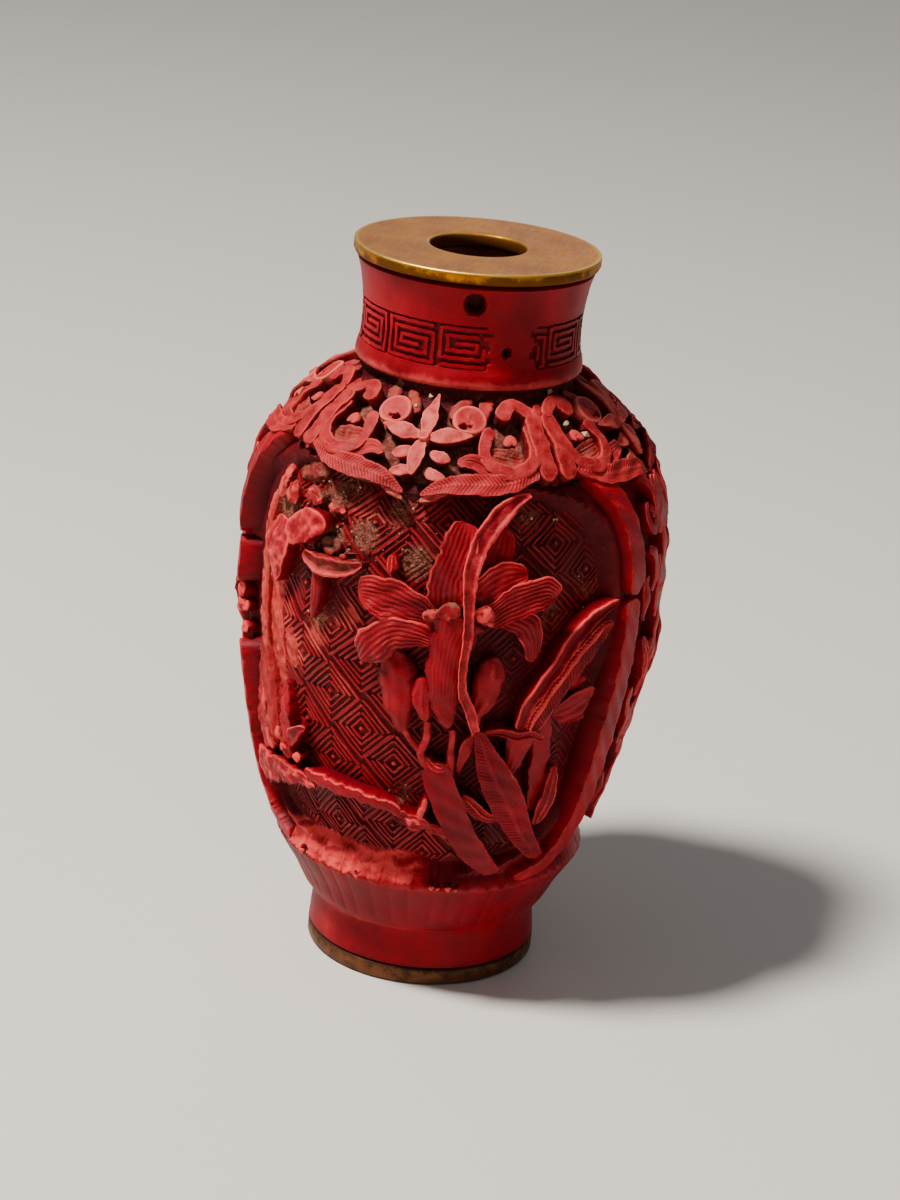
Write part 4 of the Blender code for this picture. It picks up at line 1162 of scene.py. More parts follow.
carvedPiece(
    "lilyStems",
    stroke("stem", (10.2, 30.4, 1.9, 0.38), (10.2, 28.3, 1.9, 0.38), (8.9, 27.2, 2, 0.45),
        (10.3, 26, 2, 0.38), (13.5, 24.6, 2, 0.45), thick=0.8),
    stroke("stem", (17.3, 29.8, 2, 0.35), (17.6, 27.5, 1.9, 0.35), (17.7, 25, 2.1, 0.45),
        (17.2, 23.6, 2.1, 0.5), thick=0.75),
    stroke("stem", (2.8, 29.6, 1.7, 0.3), (5.5, 28.2, 1.7, 0.3), (9, 27, 1.8, 0.35), thick=0.6),
    stroke("stem", (24.2, 31.4, 1.7, 0.3), (23.9, 30, 1.8, 0.3), (23.2, 28.6, 1.8, 0.3), thick=0.6),
    stroke("bud", (9.8, 26.6, 1.9, 0.5), (13.2, 25.6, 2.15, 0.6), (16.8, 25.6, 2.1, 0.5),
        (18.3, 26.4, 1.9, 0.3), topWear=0.6))
carvedPiece(
    "leavesSmall",
    stroke("channel", (26.3, 29.6, 2.1, 0.2), (31, 29.6, 2.2, 0.38), (36, 29.1, 2.2, 0.4),
        (40, 29.2, 2.2, 0.38), (44, 28.5, 2.1, 0.25)),
    stroke("bud", (38.2, 29, 1.95, 1.7), (37.4, 27.4, 1.9, 1.2), (36.2, 25.2, 1.7, 0.6),
        (35.2, 23.4, 1.5, 0.25), round=0.3, tips=(0.15, 1.0)),
    stroke("leaf", (22.3, 22.7, 1.8, 0.25), (25.5, 21.7, 1.9, 0.6), (29.5, 20.5, 1.9, 0.55),
        (35, 19.8, 1.7, 0.35), (38, 19.2, 1.5, 0.2)),
    stroke("slab", (23.8, 29, 1.9, 0.25), (21.8, 28, 1.9, 0.5), (21, 26.5, 1.7, 0.4), (20.3, 25, 1.5, 0.2)),
    stroke("leaf", (49.5, 18.6, 1.7, 0.5), (50.8, 21, 1.9, 0.85), (51.3, 23.4, 1.9, 0.6),
        (51.5, 25, 1.7, 0.3), topWear=0.15),
    stroke("slab", (48.5, 20, 1.2, 0.6), (46.5, 24, 1.4, 0.9), (45.5, 28, 1.5, 0.9), (44, 31, 1.6, 0.6),
        edgeWear=0.3, topWear=0.1))
carvedPiece(
    "lilyHeart",
    stroke("rock", (20.5, 41.9, 2.35, 0.6), (22.5, 41.4, 2.5, 0.8), (25, 40.4, 2.3, 0.6), topWear=0.75,
        ragged=0.1),
    stroke("rock", (7, 40.7, 2.2, 0.4), (8.5, 40.9, 2.35, 0.55), (11, 41.2, 2.3, 0.4), topWear=0.8,
        ragged=0.1),
    stroke("rock", (10.4, 40.9, 2.3, 0.4), (13.4, 41.5, 2.55, 0.65), (16.6, 41.6, 2.5, 0.5), topWear=0.5,
        dusty=0.1),
    stroke("lump", (10, 41.6, 1.2, 0.5), (14, 42, 1.3, 0.8), (18, 41.7, 1.4, 0.6), dusty=0.7),
    stroke("lump", (19, 42.8, 1.2, 0.4), (22, 42.4, 1.4, 0.7), (25, 41.6, 1.2, 0.4), dusty=0.6),
    stroke("lump", (7.6, 39.6, 1.6, 0.3), (8.6, 39.2, 1.7, 0.4), (9.6, 38.9, 1.6, 0.3), dusty=0.4),
    stroke("bud", (-3.3, 44.2, 1.4, 0.8), (-3.2, 45.9, 1.3, 0.45), topWear=0.7))
print("lily made")

# Worn blossom and trunk on the left of the front, and the blossom on the right
carvedPiece(
    "blossomLeft",
    stroke("slab", (-37.4, 44.6, 1.9, 0.9), (-33, 46, 2.2, 1.35), (-28, 46.9, 2.3, 1.35),
        (-23.4, 47, 2.1, 0.5), topWear=0.6, rough=0.05, cup=0.08, across=21, under=0.95),
    stroke("rock", (-27, 45.4, 0.8, 0.5), (-23.6, 45.3, 1, 0.7), (-20, 45, 0.8, 0.5), topWear=0.1, dusty=0.3,
        topDark=0.6),
    stroke("channel", (-11, 44.5, 1.8, 0.2), (-14.6, 43.9, 2, 0.65), (-20, 43.5, 2.1, 0.9),
        (-26, 43.5, 2.1, 0.85), (-30.4, 44, 1.9, 0.4), edgeWear=1.3, lowerEdge=0.3, channel=0.4, topWear=0.7,
        dusty=0.42, under=0.8),
    stroke("bud", (-26, 42.6, 1.5, 0.7), (-26, 40.8, 1.6, 0.7), (-26.8, 39, 1.4, 0.45), (-28, 37.6, 1, 0.2),
        topWear=0.3, topDark=0.3),
    stroke("slab", (-46.6, 46, 1, 1.1), (-44.6, 44.2, 1.4, 2), (-44.4, 42, 1.5, 1.5), (-45.2, 39.4, 1.3, 0.4),
        topWear=0.62, under=1.0, rough=0.06, across=21),
    stroke("rock", (-36.5, 49, 1.1, 0.5), (-32.6, 49.3, 1.4, 0.8), (-28.6, 48.9, 1.3, 0.5), topWear=0.55,
        dusty=0.3, rough=0.16),
    stroke("rock", (-45.5, 50.6, 0.6, 0.6), (-39, 51.4, 0.8, 0.8), (-32, 51.8, 0.6, 0.5), dusty=0.6,
        topDark=0.4, under=1.4),
    stroke("rock", (-27, 48.6, 0.8, 0.3), (-24, 48.9, 1, 0.5), (-21, 48.7, 0.7, 0.3), dusty=0.4, topWear=1.0,
        under=1.4),
    stroke("lump", (-24, 44.9, 1.6, 0.25), (-22.4, 44.8, 1.7, 0.3), (-21, 44.6, 1.6, 0.2), dusty=0.5),
    stroke("lump", (-18.4, 44.7, 1.6, 0.2), (-17.2, 44.7, 1.75, 0.26), (-16.2, 44.6, 1.6, 0.16), dusty=0.5))
flat = {"bevel": 0.16, "rough": 0.05, "under": 1.25, "dusty": 0.16, "topWear": 0.7}
carvedPiece(
    "trunkLeft",
    stroke("rock", (-52, 51, 0.6, 0.5), (-50, 49.2, 1, 0.7), (-48.6, 47.4, 1.1, 0.7), dusty=0.2, topWear=0.9),
    stroke("rock", (-46.8, 49.2, 0.8, 0.6), (-43.4, 48.4, 1.1, 0.9), (-40.6, 47.6, 1, 0.6), dusty=0.2,
        topWear=0.7),
    stroke("slab", (-55, 47.4, 0.7, 0.4), (-54.4, 44, 0.9, 0.6), (-53.8, 40, 1, 0.66), (-53.2, 35.5, 1, 0.7),
        (-52.6, 31, 0.9, 0.66), (-52.2, 27, 0.9, 0.5), dusty=0.26, topWear=0.7, rough=0.06, wobble=0.03,
        bevel=0.16, under=1.1),
    stroke("slab", (-51, 45.5, 0.3, 0.9), (-49.2, 41, 0.4, 1.4), (-48.4, 36, 0.4, 1.3),
        (-47.6, 31.5, 0.4, 1.4), (-47.4, 27.5, 0.4, 1.2), **flat),
    stroke("slab", (-41, 35.4, 0.2, 0.5), (-39.4, 33.2, 0.26, 0.9), (-38.4, 31, 0.2, 0.5), **flat),
    stroke("slab", (-54.6, 33.4, 0.6, 0.9), (-54, 29.6, 1.1, 1.8), (-53.4, 25.6, 1.5, 2.5),
        (-53.4, 21.6, 1.9, 2.5), topWear=0.46, edgeWear=0.5, rough=0.08, under=1.1, bevel=0.34, wobble=0.03,
        across=41),
    stroke("rock", (-49, 29.6, 0.5, 0.4), (-46.8, 26.6, 0.8, 0.7), (-45.8, 23.6, 1.1, 0.7), topWear=0.3,
        under=1.15, rough=0.05),
    stroke("lump", (-45.6, 24.6, 1.5, 0.3), (-43.6, 24, 1.9, 0.45), (-41.7, 23.4, 1.5, 0.25), topWear=1.1),
    stroke("lump", (-50.2, 24, 2, 0.25), (-48.2, 22.9, 2.3, 0.35), (-46, 22.3, 2.1, 0.2), topWear=1.1),
    stroke("lump", (-54.8, 27.4, 1.5, 0.25), (-53.6, 26.2, 1.8, 0.35), (-52.4, 25.4, 1.6, 0.2), topWear=1.0,
        dusty=0.3), finish="Worn")
carvedPiece(
    "rockFace",
    stroke("rock", (-41.5, 29.6, 0.8, 0.5), (-40.4, 27.2, 1.3, 0.8), (-39.4, 24.6, 1.7, 0.9),
        (-38.6, 22.2, 1.9, 0.9), topWear=0.35, edgeWear=0.5, under=1.05, rough=0.08),
    stroke("channel", (-36.6, 24, 1.9, 0.4), (-34, 25.2, 2.1, 0.7), (-31.4, 26, 2, 0.5),
        (-29.6, 26.2, 1.6, 0.2), channel=0.2),
    stroke("lump", (-36, 22.6, 1.9, 0.4), (-33.6, 22.9, 2.1, 0.5), (-31.4, 23.2, 1.9, 0.3), topWear=0.9),
    stroke("lump", (-40.2, 23, 2.1, 0.2), (-38.8, 23.6, 2.3, 0.34), (-37.4, 23.4, 2.1, 0.2), topWear=1.1))
carvedPiece(
    "rockLedge",
    stroke("rock", (-62, 19, 2.2, 1.8), (-54, 19.7, 2.45, 1.7), (-46, 20.4, 2.5, 1.35), (-38, 20.9, 2.45, 1),
        (-31, 21, 2.35, 0.65), (-25, 20.8, 2.1, 0.3), topWear=0.6, edgeWear=1.0, lowerEdge=0.3, under=0.5,
        ragged=0.16, round=0.12, rough=0.1, wobble=0.08),
    stroke("rock", (-30, 21.9, 2, 0.35), (-25, 21.8, 2.35, 0.56), (-16, 21.6, 2.35, 0.58),
        (-8, 21.3, 2.3, 0.5), (0, 20.9, 2.3, 0.5), (4, 20.4, 2.3, 0.45), topWear=0.3, edgeWear=1.1,
        lowerEdge=0.1, under=0.3, ragged=0.14, round=0.35, rough=0.05, wobble=0.07),
    stroke("rock", (3, 20.3, 2.2, 0.5), (8, 19.6, 2.3, 0.75), (12, 19.4, 2.3, 0.6), (16, 18.8, 2.2, 0.4),
        (20, 18, 2.1, 0.35), topWear=0.4, edgeWear=0.9, lowerEdge=0.2, under=0.5),
    stroke("rock", (5, 20, 2.3, 0.2), (7.6, 19.8, 2.5, 0.36), (10.4, 19.8, 2.4, 0.24), topWear=1.2,
        dusty=0.1),
    stroke("lump", (9.6, 19.6, 2.2, 0.3), (10.6, 20.9, 2.2, 0.35), (11.6, 22.1, 2, 0.2), topWear=0.7))
# Chips left standing along the ledge: angle, height, size
chips = ((15.8, 12.3, 0.3), (18.2, 12.15, 0.22), (21.6, 12.2, 0.34), (24.6, 12.1, 0.2), (-37.5, 12.5, 0.34),
         (-12, 12.2, 0.24))
ledgeChips = [stroke("lump", (angle - 3.2 * size, height - 0.2 * size, 0.25, 0.5 * size),
                     (angle, height, 0.2 + 0.9 * size, size),
                     (angle + 3.6 * size, height + 0.3 * size, 0.2, 0.4 * size))
              for angle, height, size in chips]
carvedPiece("ledgeChips", *ledgeChips, ground=0.3, topWear=1.6, edgeWear=1.2, step=0.08)
carvedPiece(
    "blossomRight",
    stroke("petal", (48, 30.2, 1.1, 0.9), (53, 30.8, 1.4, 1.5), (58, 31.4, 1.6, 1.7), (61, 31.2, 1.4, 1),
        ribs=4, topWear=0.2, edgeWear=0.5),
    stroke("lump", (52, 33.4, 1, 0.4), (55, 33.2, 1.2, 0.6), (58, 33.6, 1.1, 0.4), topWear=0.3))
print("blossoms and rocks made")


# The wide raised rim round each panel, broken across where it bulges
rim = {
    "upper": ((54.5, 53.2, 2.4, 0.5), (60, 52.3, 2.6, 0.95), (66, 49.9, 2.6, 1.05), (70, 46.4, 2.6, 1.1),
        (71.3, 43, 2.6, 1.1), (71.4, 41.3, 2.5, 1.05)),
    "lower": ((71.6, 40.9, 2.4, 1.1), (71, 38, 2.5, 1.15), (70.2, 34, 2.5, 1.2), (69.4, 29.5, 2.6, 1.25),
        (68.4, 24, 2.6, 1.25), (66.5, 19, 2.6, 1.2), (62.5, 15.2, 2.5, 1.05), (55.5, 13.2, 2.4, 0.9),
        (47, 12.6, 2.3, 0.6)),
    "brokenFrom": 36.4,
    "brokenTo": 30.6,
}
rimCrumbs = (
    ((-68.6, 36, 1.8, 0.6), (-71, 35.6, 2.2, 0.8), (-73.4, 35.4, 2.2, 0.6)),
    ((-68, 34, 1.4, 0.6), (-71.4, 33.8, 2.3, 0.7), (-74.6, 33.6, 2.4, 0.5)),
    ((-67.6, 31.9, 1.6, 0.4), (-70.4, 31.7, 2.1, 0.5), (-72.8, 31.6, 2.1, 0.4)))


def makeRim(name, middle, broken=False):
    stock = newStock()
    for side in (1, -1):
        runs = [rim["upper"], rim["lower"]]
        if broken and side < 0:
            lower = np.array(rim["lower"])
            over = [tuple(row) for row in lower if row[1] > rim["brokenFrom"]]
            under = [tuple(row) for row in lower if row[1] < rim["brokenTo"]]
            overEnd, underEnd = ([np.interp(-height, -lower[:, 1], column) for column in lower.T]
                                 for height in (rim["brokenFrom"], rim["brokenTo"]))
            runs = [rim["upper"], [*over, overEnd], [underEnd, *under]]
        for rows in runs:
            # the left rim's upper runs show less rubbed colour: painted shade on that side
            dark = 0.24 if side < 0 and rows[0][1] > rim["brokenTo"] else 0.0
            carve(stock, "slab", placed(rows, middle, side), wobble=0.03, ragged=0.07, edgeWear=0.5 - dark,
                  topWear=0.36 - dark, across=17, under=1.1, step=0.2)
    if broken:
        for rows in rimCrumbs:
            carve(stock, "rock", rows, edgeWear=0.9, topWear=0.95, dusty=0.2, under=1.1)
    makePiece(name, stock, lacquer["Carved"])


makeRim("rimFront", 0.0, broken=True)
makeRim("rimBack", 180.0)

# Shoulder frieze: four flowers, and scrolls between them, mirrored about each eighth
friezeFlower = (
    stroke("petal", (0, 55.7, 1.8, 0.3), (0.2, 56.9, 2, 0.72), (0.6, 58.7, 1.75, 0.08), mirror=False),
    stroke("petal", (1, 55.8, 1.75, 0.3), (8, 55.9, 1.95, 0.78), (17, 56.2, 1.65, 0.1), mirror=True),
    stroke("petal", (-0.5, 55.5, 1.75, 0.4), (-1, 54.4, 1.95, 0.72), (-1.4, 52.9, 1.7, 0.25), mirror=False),
    stroke("slab", (3, 54.9, 1.3, 0.3), (6.5, 54.5, 1.55, 0.6), (10, 54.4, 1.3, 0.35), mirror=True),
    stroke("slab", (1.8, 53.7, 0.9, 0.35), (5.5, 53.2, 1.3, 0.55), (9, 53.1, 1.1, 0.3), mirror=True),
    stroke("slab", (12, 52.5, 1.1, 0.25), (6.5, 51.6, 1.35, 0.42), (2.5, 51, 1.3, 0.15), mirror=True))
friezeScroll = (
    stroke("slab", (41.6, 52.9, 1.8, 0.85), (41, 55.3, 1.95, 0.8), (41.4, 57.6, 1.8, 0.75)),
    stroke("slab", (41.8, 57.4, 1.8, 0.5), (37, 58.1, 1.95, 0.6), (32, 58.1, 2, 0.7),
        (27.8, 57.3, 1.9, 0.78)),
    stroke("slab", (38.4, 57, 1.5, 0.4), (38.6, 55.3, 1.85, 0.5), (36, 54.1, 1.95, 0.62),
        (30, 53.5, 1.95, 0.7), (24, 53.9, 1.9, 0.62), (20.8, 55, 1.8, 0.5), (22.2, 56.2, 1.8, 0.6),
        (25, 56.5, 1.7, 0.55)),
    stroke("petal", (35.5, 54.6, 1, 0.5), (30, 54.7, 1.3, 0.95), (25, 54.9, 1.25, 0.8), (21, 55.2, 1.1, 0.4),
        ribs=5, dusty=0.5),
    stroke("bud", (28.6, 55.6, 1.55, 0.45), (31, 56.1, 1.6, 0.5), (32.6, 55.6, 1.5, 0.25), topWear=0.8),
    stroke("petal", (25.5, 53, 1.3, 0.35), (21, 53.9, 1.65, 0.75), (16.5, 54.3, 1.75, 0.7),
        (12.2, 54.2, 1.55, 0.3), ribs=5),
    stroke("lump", (8, 57.5, 1.1, 0.4), (10, 58.2, 1.2, 0.5), (16, 58.9, 1.1, 0.5), dusty=0.5),
    stroke("rock", (20.5, 57.4, 1, 0.4), (23, 58.4, 1.2, 0.6), (27, 58.9, 1, 0.4), dusty=0.4),
    stroke("slab", (45, 56.3, 1.4, 0.5), (45.6, 57.6, 1.5, 0.55), (49, 58.4, 1.3, 0.3)),
    stroke("slab", (45, 52.7, 0.7, 0.3), (45, 54.5, 0.9, 0.35), (45, 56.2, 0.8, 0.3)))
friezeLeaf = stroke(
    "leaf", (2.5, 51.5, 1.5, 0.15), (9, 52.3, 1.9, 0.7), (18, 52.6, 1.95, 1), (27, 52.7, 1.9, 0.9),
    (38, 53.5, 1.8, 0.45), hatchPitch=0.36, hatch=0.08, midrib=0.04, topWear=0.6, edgeWear=0.9, dusty=0.14,
    tips=(2.0, 1.0))
frieze = {"ground": bottle["friezeDepth"], "step": 0.12, "wallShade": 0.2}
flowerCut = {
    "ribs": 0, "across": 17, "cup": 0.08, "rough": 0.025, "topWear": 0.6, "edgeWear": 0.9, "dusty": 0.2,
    "tips": (1.0, 1.6)}
scrollCut = {"wobble": 0.05, "across": 13, "rough": 0.02, "topWear": 0.5, "edgeWear": 0.8, "dusty": 0.2}


def makeFrieze():
    flowers, scrolls, leaves = newStock(), newStock(), newStock()
    for middle in (0.0, 90.0, 180.0, 270.0):
        for formName, rows, changes in friezeFlower:
            for side in ((1, -1) if changes["mirror"] else (1,)):
                carve(flowers, formName, placed(rows, middle, side), **flowerCut, **frieze)
        carveDisc(flowers, middle - 0.3, 55.75, 0.52, 2.15, frieze["ground"], worn=0.95)
        for side in (1, -1):
            holes = ((-0.5 * side, -0.8, 0.34, 0.9), (0.1 * side, -0.75, 0.16, 0.5))
            carveDisc(flowers, middle + side * 15.5, 57.25, 1.55, 1.75, frieze["ground"], holes, 0.7, 0.2)
            for formName, rows, changes in friezeScroll:
                carve(scrolls, formName, placed(rows, middle, side), **{**scrollCut, **frieze, **changes})
            formName, rows, changes = friezeLeaf
            carve(leaves, formName, placed(rows, middle, side), **changes, **frieze)
    makePiece("friezeFlowers", flowers, lacquer["Flowers"])
    makePiece("friezeScrolls", scrolls, lacquer["Scrolls"])
    makePiece("friezeLeaves", leaves, lacquer["Scrolls"])


makeFrieze()
print("frieze made")

# Scrolls on the two sides, between the rims; angles count from the middle of the side
sideScrolls = (
    stroke("slab", (-12.8, 51.6, 1.2, 0.3), (-9.6, 51.2, 1.45, 0.42), (-6.8, 50, 1.5, 0.42),
        (-6.4, 47.8, 1.45, 0.42), (-9.2, 46.6, 1.4, 0.4), (-11.8, 47.6, 1.35, 0.36),
        (-11.6, 49.4, 1.3, 0.34)),
    stroke("bud", (-10.2, 49, 1.3, 0.3), (-9, 48.4, 1.4, 0.34), (-9.8, 47.8, 1.3, 0.26)),
    stroke("slab", (-3, 51.2, 1.2, 0.35), (-2.6, 48.5, 1.4, 0.5), (-3, 45.8, 1.3, 0.4)),
    stroke("slab", (-12, 45.2, 1.1, 0.3), (-8.5, 44.2, 1.3, 0.5), (-6, 42.4, 1.3, 0.4), (-8, 40.6, 1.2, 0.3)),
    stroke("lump", (-11, 42.4, 1.1, 0.5), (-10.8, 40, 1.2, 0.6), (-11.5, 38, 1.1, 0.4)),
    stroke("slab", (-3, 43.8, 1.2, 0.4), (-3.4, 40.5, 1.4, 0.55), (-2.2, 37.5, 1.2, 0.4)),
    stroke("leaf", (-11.5, 36.4, 1.1, 0.3), (-8.8, 34.6, 1.4, 0.7), (-6.6, 32, 1.4, 0.6),
        (-6.4, 29.8, 1.2, 0.25)),
    stroke("lump", (-2.5, 35.4, 1.2, 0.5), (-3.5, 33, 1.3, 0.6), (-2.6, 30.6, 1.2, 0.4)),
    stroke("slab", (-11.5, 31.2, 1.1, 0.3), (-9.8, 28.8, 1.3, 0.5), (-7.2, 27.4, 1.3, 0.5),
        (-7.6, 25.2, 1.2, 0.35), (-10, 25.6, 1.2, 0.3)),
    stroke("slab", (-2.6, 28.6, 1.2, 0.35), (-3.6, 26, 1.3, 0.5), (-2.8, 23.2, 1.2, 0.35)),
    stroke("lump", (-8, 21.6, 1.1, 0.3), (-6.4, 20, 1.2, 0.5), (-7, 18, 1.1, 0.3)))


def sideLift(lift, height):
    # lower down they are cut back inside the rims' outline
    return lift - 0.6 * (1 - smooth(16.0, 34.0, height))


def makeSide(name, middle):
    stock = newStock()
    shallow = {"ground": bottle["sideDepth"], "under": 1.0}
    for side in (1, -1):
        for formName, rows, _ in sideScrolls:
            rows = [(angle, height, sideLift(lift, height), half) for angle, height, lift, half in rows]
            carve(stock, formName, placed(rows, middle, side), wobble=0.08, step=0.2, across=13, rough=0.03,
                  ragged=0.04, **shallow)
    spine = [(middle, z, sideLift(1.35, z), 0.42 + 0.12 * math.sin(z * 1.3))
             for z in (15.5, 21, 27, 33, 39, 45, 51)]
    carve(stock, "slab", spine, wobble=0.14, step=0.25, **shallow)
    makePiece(name, stock, lacquer["Carved"])


makeSide("sideScrollsRight", 90.0)
makeSide("sideScrollsLeft", 270.0)

# A plainer spray on the back; angles count from the middle of the back
backSpray = (
    stroke("petal", (0, 39, 1.6, 0.6), (-8, 41.6, 2.1, 1.6), (-17, 41.4, 1.9, 0.5)),
    stroke("petal", (0, 39.4, 1.6, 0.6), (-3, 43.6, 2.1, 1.6), (-4, 47.6, 1.9, 0.5)),
    stroke("petal", (2, 39.4, 1.6, 0.6), (10, 43, 2.1, 1.6), (18, 44.2, 1.9, 0.5)),
    stroke("petal", (3, 38.4, 1.6, 0.6), (11, 38, 2.1, 1.5), (17, 35.4, 1.9, 0.5)),
    stroke("petal", (0, 38, 1.6, 0.6), (-7, 36.6, 2.1, 1.5), (-11, 33.4, 1.9, 0.5)),
    stroke("stem", (2, 38, 1.9, 0.7), (3, 30, 1.8, 0.5), (-2, 23, 1.8, 0.5), (-8, 18, 1.8, 0.6)),
    stroke("leaf", (-8, 18, 2, 0.4), (-20, 25, 2.3, 1.3), (-30, 34, 2.3, 1.3), (-33, 42, 2.1, 0.3)),
    stroke("leaf", (-6, 18, 2, 0.4), (10, 22, 2.3, 1.3), (25, 29, 2.3, 1.4), (40, 31, 2.1, 0.3)),
    stroke("leaf", (-4, 17, 1.9, 0.4), (16, 18, 2, 1.2), (34, 22, 2, 1.2), (48, 21, 1.9, 0.3)),
    stroke("leaf", (-10, 17, 1.9, 0.4), (-26, 19, 2.1, 1.3), (-42, 26, 2.1, 1.2), (-52, 33, 1.9, 0.3)),
    stroke("stem", (3, 29, 1.7, 0.45), (11, 32.4, 1.8, 0.4), (20, 34.2, 1.8, 0.4), (28.6, 36.6, 1.8, 0.5)),
    stroke("bud", (28, 36, 1.8, 0.6), (34, 39.6, 2, 1.3), (42, 41, 1.8, 0.6)),
    stroke("rock", (-56, 17.6, 2.1, 1.1), (-30, 16.4, 2.1, 0.9), (0, 16.8, 2.1, 0.7), (30, 16.2, 2.1, 0.9),
        (56, 17.8, 2.1, 1.1)))
carvedPiece("backSpray", *[(formName, placed(rows, 180), changes) for formName, rows, changes in backSpray],
            across=21, step=0.2)
print("sides and back made")


grains = {
    "count": 420,
    "small": 0.05,           # radius, mm
    "large": 0.16,
    "seed": 5,
    # pale ones: angle, height, radius
    "flakes": ((58, 56.9, 0.42), (64.5, 55.9, 0.4), (62, 59, 0.34), (-4, 58.6, 0.3), (-9, 57.9, 0.22)),
}
crumbCorners = np.array(((1, 0, 0), (0, 1, 0), (-1, 0, 0), (0, -1, 0), (0, 0, 1), (0, 0, -1)), float)
crumbFaces = ((0, 1, 4), (1, 2, 4), (2, 3, 4), (3, 0, 4), (1, 0, 5), (2, 1, 5), (3, 2, 5), (0, 3, 5))


def crumb(chance, angle, height, out, size, least, most):
    # a speck with eight faces, turned and pulled out of shape
    turned = crumbCorners @ np.array(Quaternion(chance.normal(0, 1, 4)).normalized().to_matrix())
    return onSkin(angle, height, out).reshape(3) + turned * size * chance.uniform(least, most, (6, 1))


def makeGrains():
    chance = np.random.default_rng(grains["seed"])
    stock = newStock()
    weights = np.array([reach * strength for _, _, reach, strength in dustSpots])
    for spot in chance.choice(len(dustSpots), grains["count"], p=weights / weights.sum()):
        spotAngle, spotHeight, reach, _ = dustSpots[spot]
        angle, height = nearby(spotAngle, spotHeight, *chance.normal(0, 0.6 * reach, 2))
        size = grains["small"] + (grains["large"] - grains["small"]) * chance.random() ** 3
        depth = bottle["friezeDepth"] if height > 53.0 else bottle["panelDepth"] - 0.3
        points = crumb(chance, angle, height, -depth + 0.3 * size, size, 0.7, 1.3)
        pale = np.full(6, chance.random() ** 4)
        addBody(stock, points, [], crumbFaces, pale, np.zeros(6), np.full(6, chance.random()))
    for angle, height, size in grains["flakes"]:
        points = crumb(chance, angle, height, -0.5, size, 0.5, 1.2)
        addBody(stock, points, [], crumbFaces, np.full(6, 0.85), np.zeros(6), np.zeros(6))
    makePiece("dustGrains", stock, dustGrain, sharp=30.0)


makeGrains()
print("dust made")


def makeTurned(name, rows, finish, node):
    # turned brass piece; rows of height, radius, bright and dark go once round its section
    angles = np.arange(240) * 1.5
    stock = newStock()
    points, worn, deep = [], [], []
    for height, radius, bright, dark in rows:
        uneven = 0.012 * ripple(onTurn(angles, radius + 0 * angles, height), 3.0, 8)
        points.append(onTurn(angles, radius + uneven, height))
        worn.append(bright + 0 * angles)
        deep.append(dark + 0 * angles)
    points, worn, deep = np.vstack(points), np.concatenate(worn), np.concatenate(deep)
    quads = gridFaces(len(rows) + 1, len(angles)) % len(points)
    addBody(stock, points, quads, [], worn, deep, 0 * worn)
    makePiece(name, stock, finish, node, sharp=60.0)


plateLow, plateHigh = (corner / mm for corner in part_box("brass_mouth_plate"))
bottom, top, edge = plateLow.z, plateHigh.z, (plateHigh.x - plateLow.x) / 2
hole, bevel = 4.4, 0.16
makeTurned("mouthPlate", [
    (bottom, hole + 0.1, 0.0, 0.3), (bottom, 9.0, 0.0, 0.3), (bottom, edge - 0.5, 0.0, 0.2),
    (bottom + 0.1, edge - 0.12, 0.0, 0.6), (bottom + 0.35, edge, 0.0, 0.5),
    # the bevel rows take the bright colour: painted highlight along the top edge, over worn brass
    (top - bevel - 0.1, edge, 0.0, 0.4), (top - bevel * 0.5, edge - bevel * 0.12, 0.5, 0.0),
    (top - bevel * 0.1, edge - bevel * 0.5, 0.9, 0.0), (top, edge - bevel, 0.5, 0.0),
    (top, edge - 0.5, 0.0, 0.0),
    *[(top, radius, 0.0, 0.12 * smooth(7.0, 5.0, radius)) for radius in (9.6, 8.4, 7.2, 6.2, 5.5)],
    # the hole's rim takes the bright colour too: painted highlight
    (top, hole + 0.42, 0.0, 0.2), (top - 0.02, hole + 0.2, 0.35, 0.1), (top - 0.1, hole + 0.06, 0.2, 0.5),
    (top - 0.25, hole, 0.0, 0.8), (bottom + 0.2, hole, 0.0, 0.9),
], mouthBrass, "brass_mouth_plate")

ringLow, ringHigh = (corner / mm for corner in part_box("brass_foot_ring"))
top, edge = ringHigh.z, (ringHigh.x - ringLow.x) / 2
inner, bevel = 9.2, 0.3
makeTurned("footRing", [
    (0.0, inner + 0.15, 0.0, 0.3), (0.0, inner + 0.6, 0.3, 0.1), (0.0, edge - 0.5, 0.3, 0.1),
    (0.08, edge - 0.2, 0.3, 0.1), (bevel, edge, 0.2, 0.1), (top - 0.25, edge, 0.1, 0.15),
    (top - 0.06, edge - 0.08, 0.2, 0.3), (top, edge - 0.3, 0.0, 0.4), (top, inner + 0.2, 0.0, 0.4),
    (top - 0.2, inner, 0.0, 0.3), (0.2, inner, 0.0, 0.3),
], footBrass, "brass_foot_ring")
print("brass made")


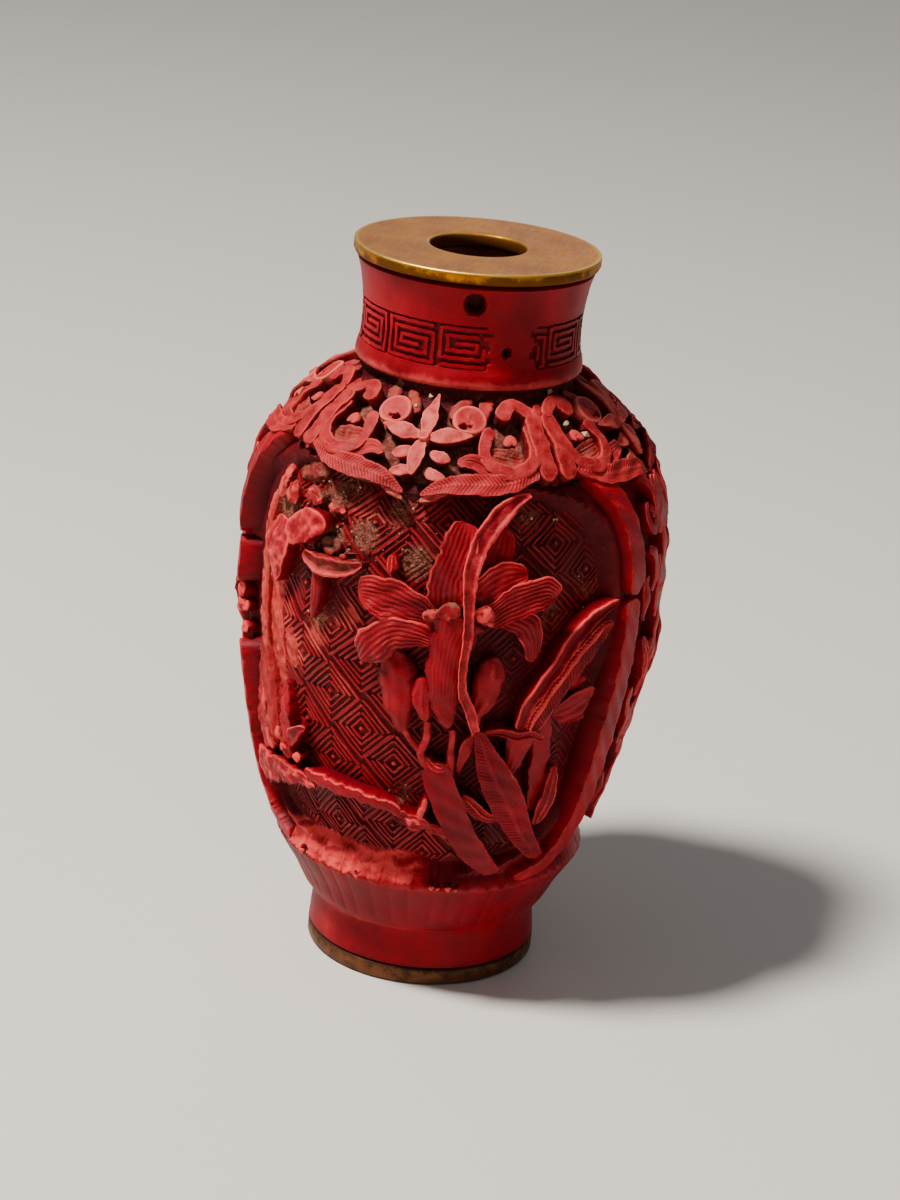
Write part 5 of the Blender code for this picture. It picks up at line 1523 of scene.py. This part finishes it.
# From here on in metres. A place is azimuth from the front towards +X, elevation and distance
stage = {
    "floorColour": (216, 212, 206),
    "floorSize": 8.0,
    "skyColour": (0.93, 0.94, 0.96, 1.0),
    "skyStrength": 0.2,
    "middle": 0.035,         # height that places are measured from
}
lamps = {
    "keyLamp": {"place": (-52.0, 62.0, 0.6), "size": 0.1, "power": 8.0, "colour": (1.0, 0.94, 0.87)},
    "fillLamp": {"place": (40.0, 35.0, 0.9), "size": 0.7, "power": 0.35, "colour": (0.93, 0.96, 1.0)},
    "backLamp": {"place": (186.0, 26.0, 1.2), "size": 0.7, "power": 0.9, "colour": (1.0, 0.95, 0.88)},
}
camera = {
    "place": (13.0, 20.1, 0.277),
    "roll": 4.93,
    "lens": 87.2,
    "aimHeight": 0.0354,
    "aimSide": 0.0002,
}

paleFloor, tree, shader = newMaterial("paleFloor")
place = addNode(tree, "TexCoord", {}, "Object")
darker = [value - 6 for value in stage["floorColour"]]
colour = toned(tree, noiseOf(tree, place, 9.0, 5.0), darker, stage["floorColour"])
fill(tree, shader, {"Base Color": colour, "Roughness": 0.9})
half = stage["floorSize"] / 2
floorMesh = bpy.data.meshes.new("floor")
corners = [(-half, -half, 0), (half, -half, 0), (half, half, 0), (-half, half, 0)]
floorMesh.from_pydata(corners, [], [(0, 1, 2, 3)])
floorMesh.materials.append(paleFloor)
floor = bpy.data.objects.new("floor", floorMesh)
bpy.context.scene.collection.objects.link(floor)


def stand(made, place, aim):
    # puts a lamp or the camera at its place, looking at aim
    around, up = math.radians(place[0]), math.radians(place[1])
    away = Vector((math.sin(around) * math.cos(up), -math.cos(around) * math.cos(up), math.sin(up)))
    made.location = middle + away * place[2]
    made.rotation_mode = "QUATERNION"
    made.rotation_quaternion = (aim - made.location).to_track_quat("-Z", "Y")
    bpy.context.scene.collection.objects.link(made)


middle = Vector((0.0, 0.0, stage["middle"]))
for name, lamp in lamps.items():
    light = bpy.data.lights.new(name, "AREA")
    light.shape = "DISK"
    light.size = lamp["size"]
    light.energy = lamp["power"]
    light.color = lamp["colour"]
    stand(bpy.data.objects.new(name, light), lamp["place"], middle)
sky = bpy.data.worlds.new("studio")
sky.use_nodes = True
fill(sky.node_tree, sky.node_tree.nodes["Background"],
     {"Color": stage["skyColour"], "Strength": stage["skyStrength"]})
bpy.context.scene.world = sky

lens = bpy.data.cameras.new("camera")
lens.lens = camera["lens"]
lens.sensor_width = 36.0
lens.clip_start, lens.clip_end = 0.01, 20.0
viewer = bpy.data.objects.new("camera", lens)
turn, roll = math.radians(camera["place"][0]), math.radians(camera["roll"])
aim = Vector((math.cos(turn), math.sin(turn), 0.0)) * camera["aimSide"]
aim = aim + Vector((0.0, 0.0, camera["aimHeight"]))
stand(viewer, camera["place"], aim)
viewer.rotation_quaternion = viewer.rotation_quaternion @ Quaternion((0.0, 0.0, 1.0), roll)
bpy.context.scene.camera = viewer
print("stage set")
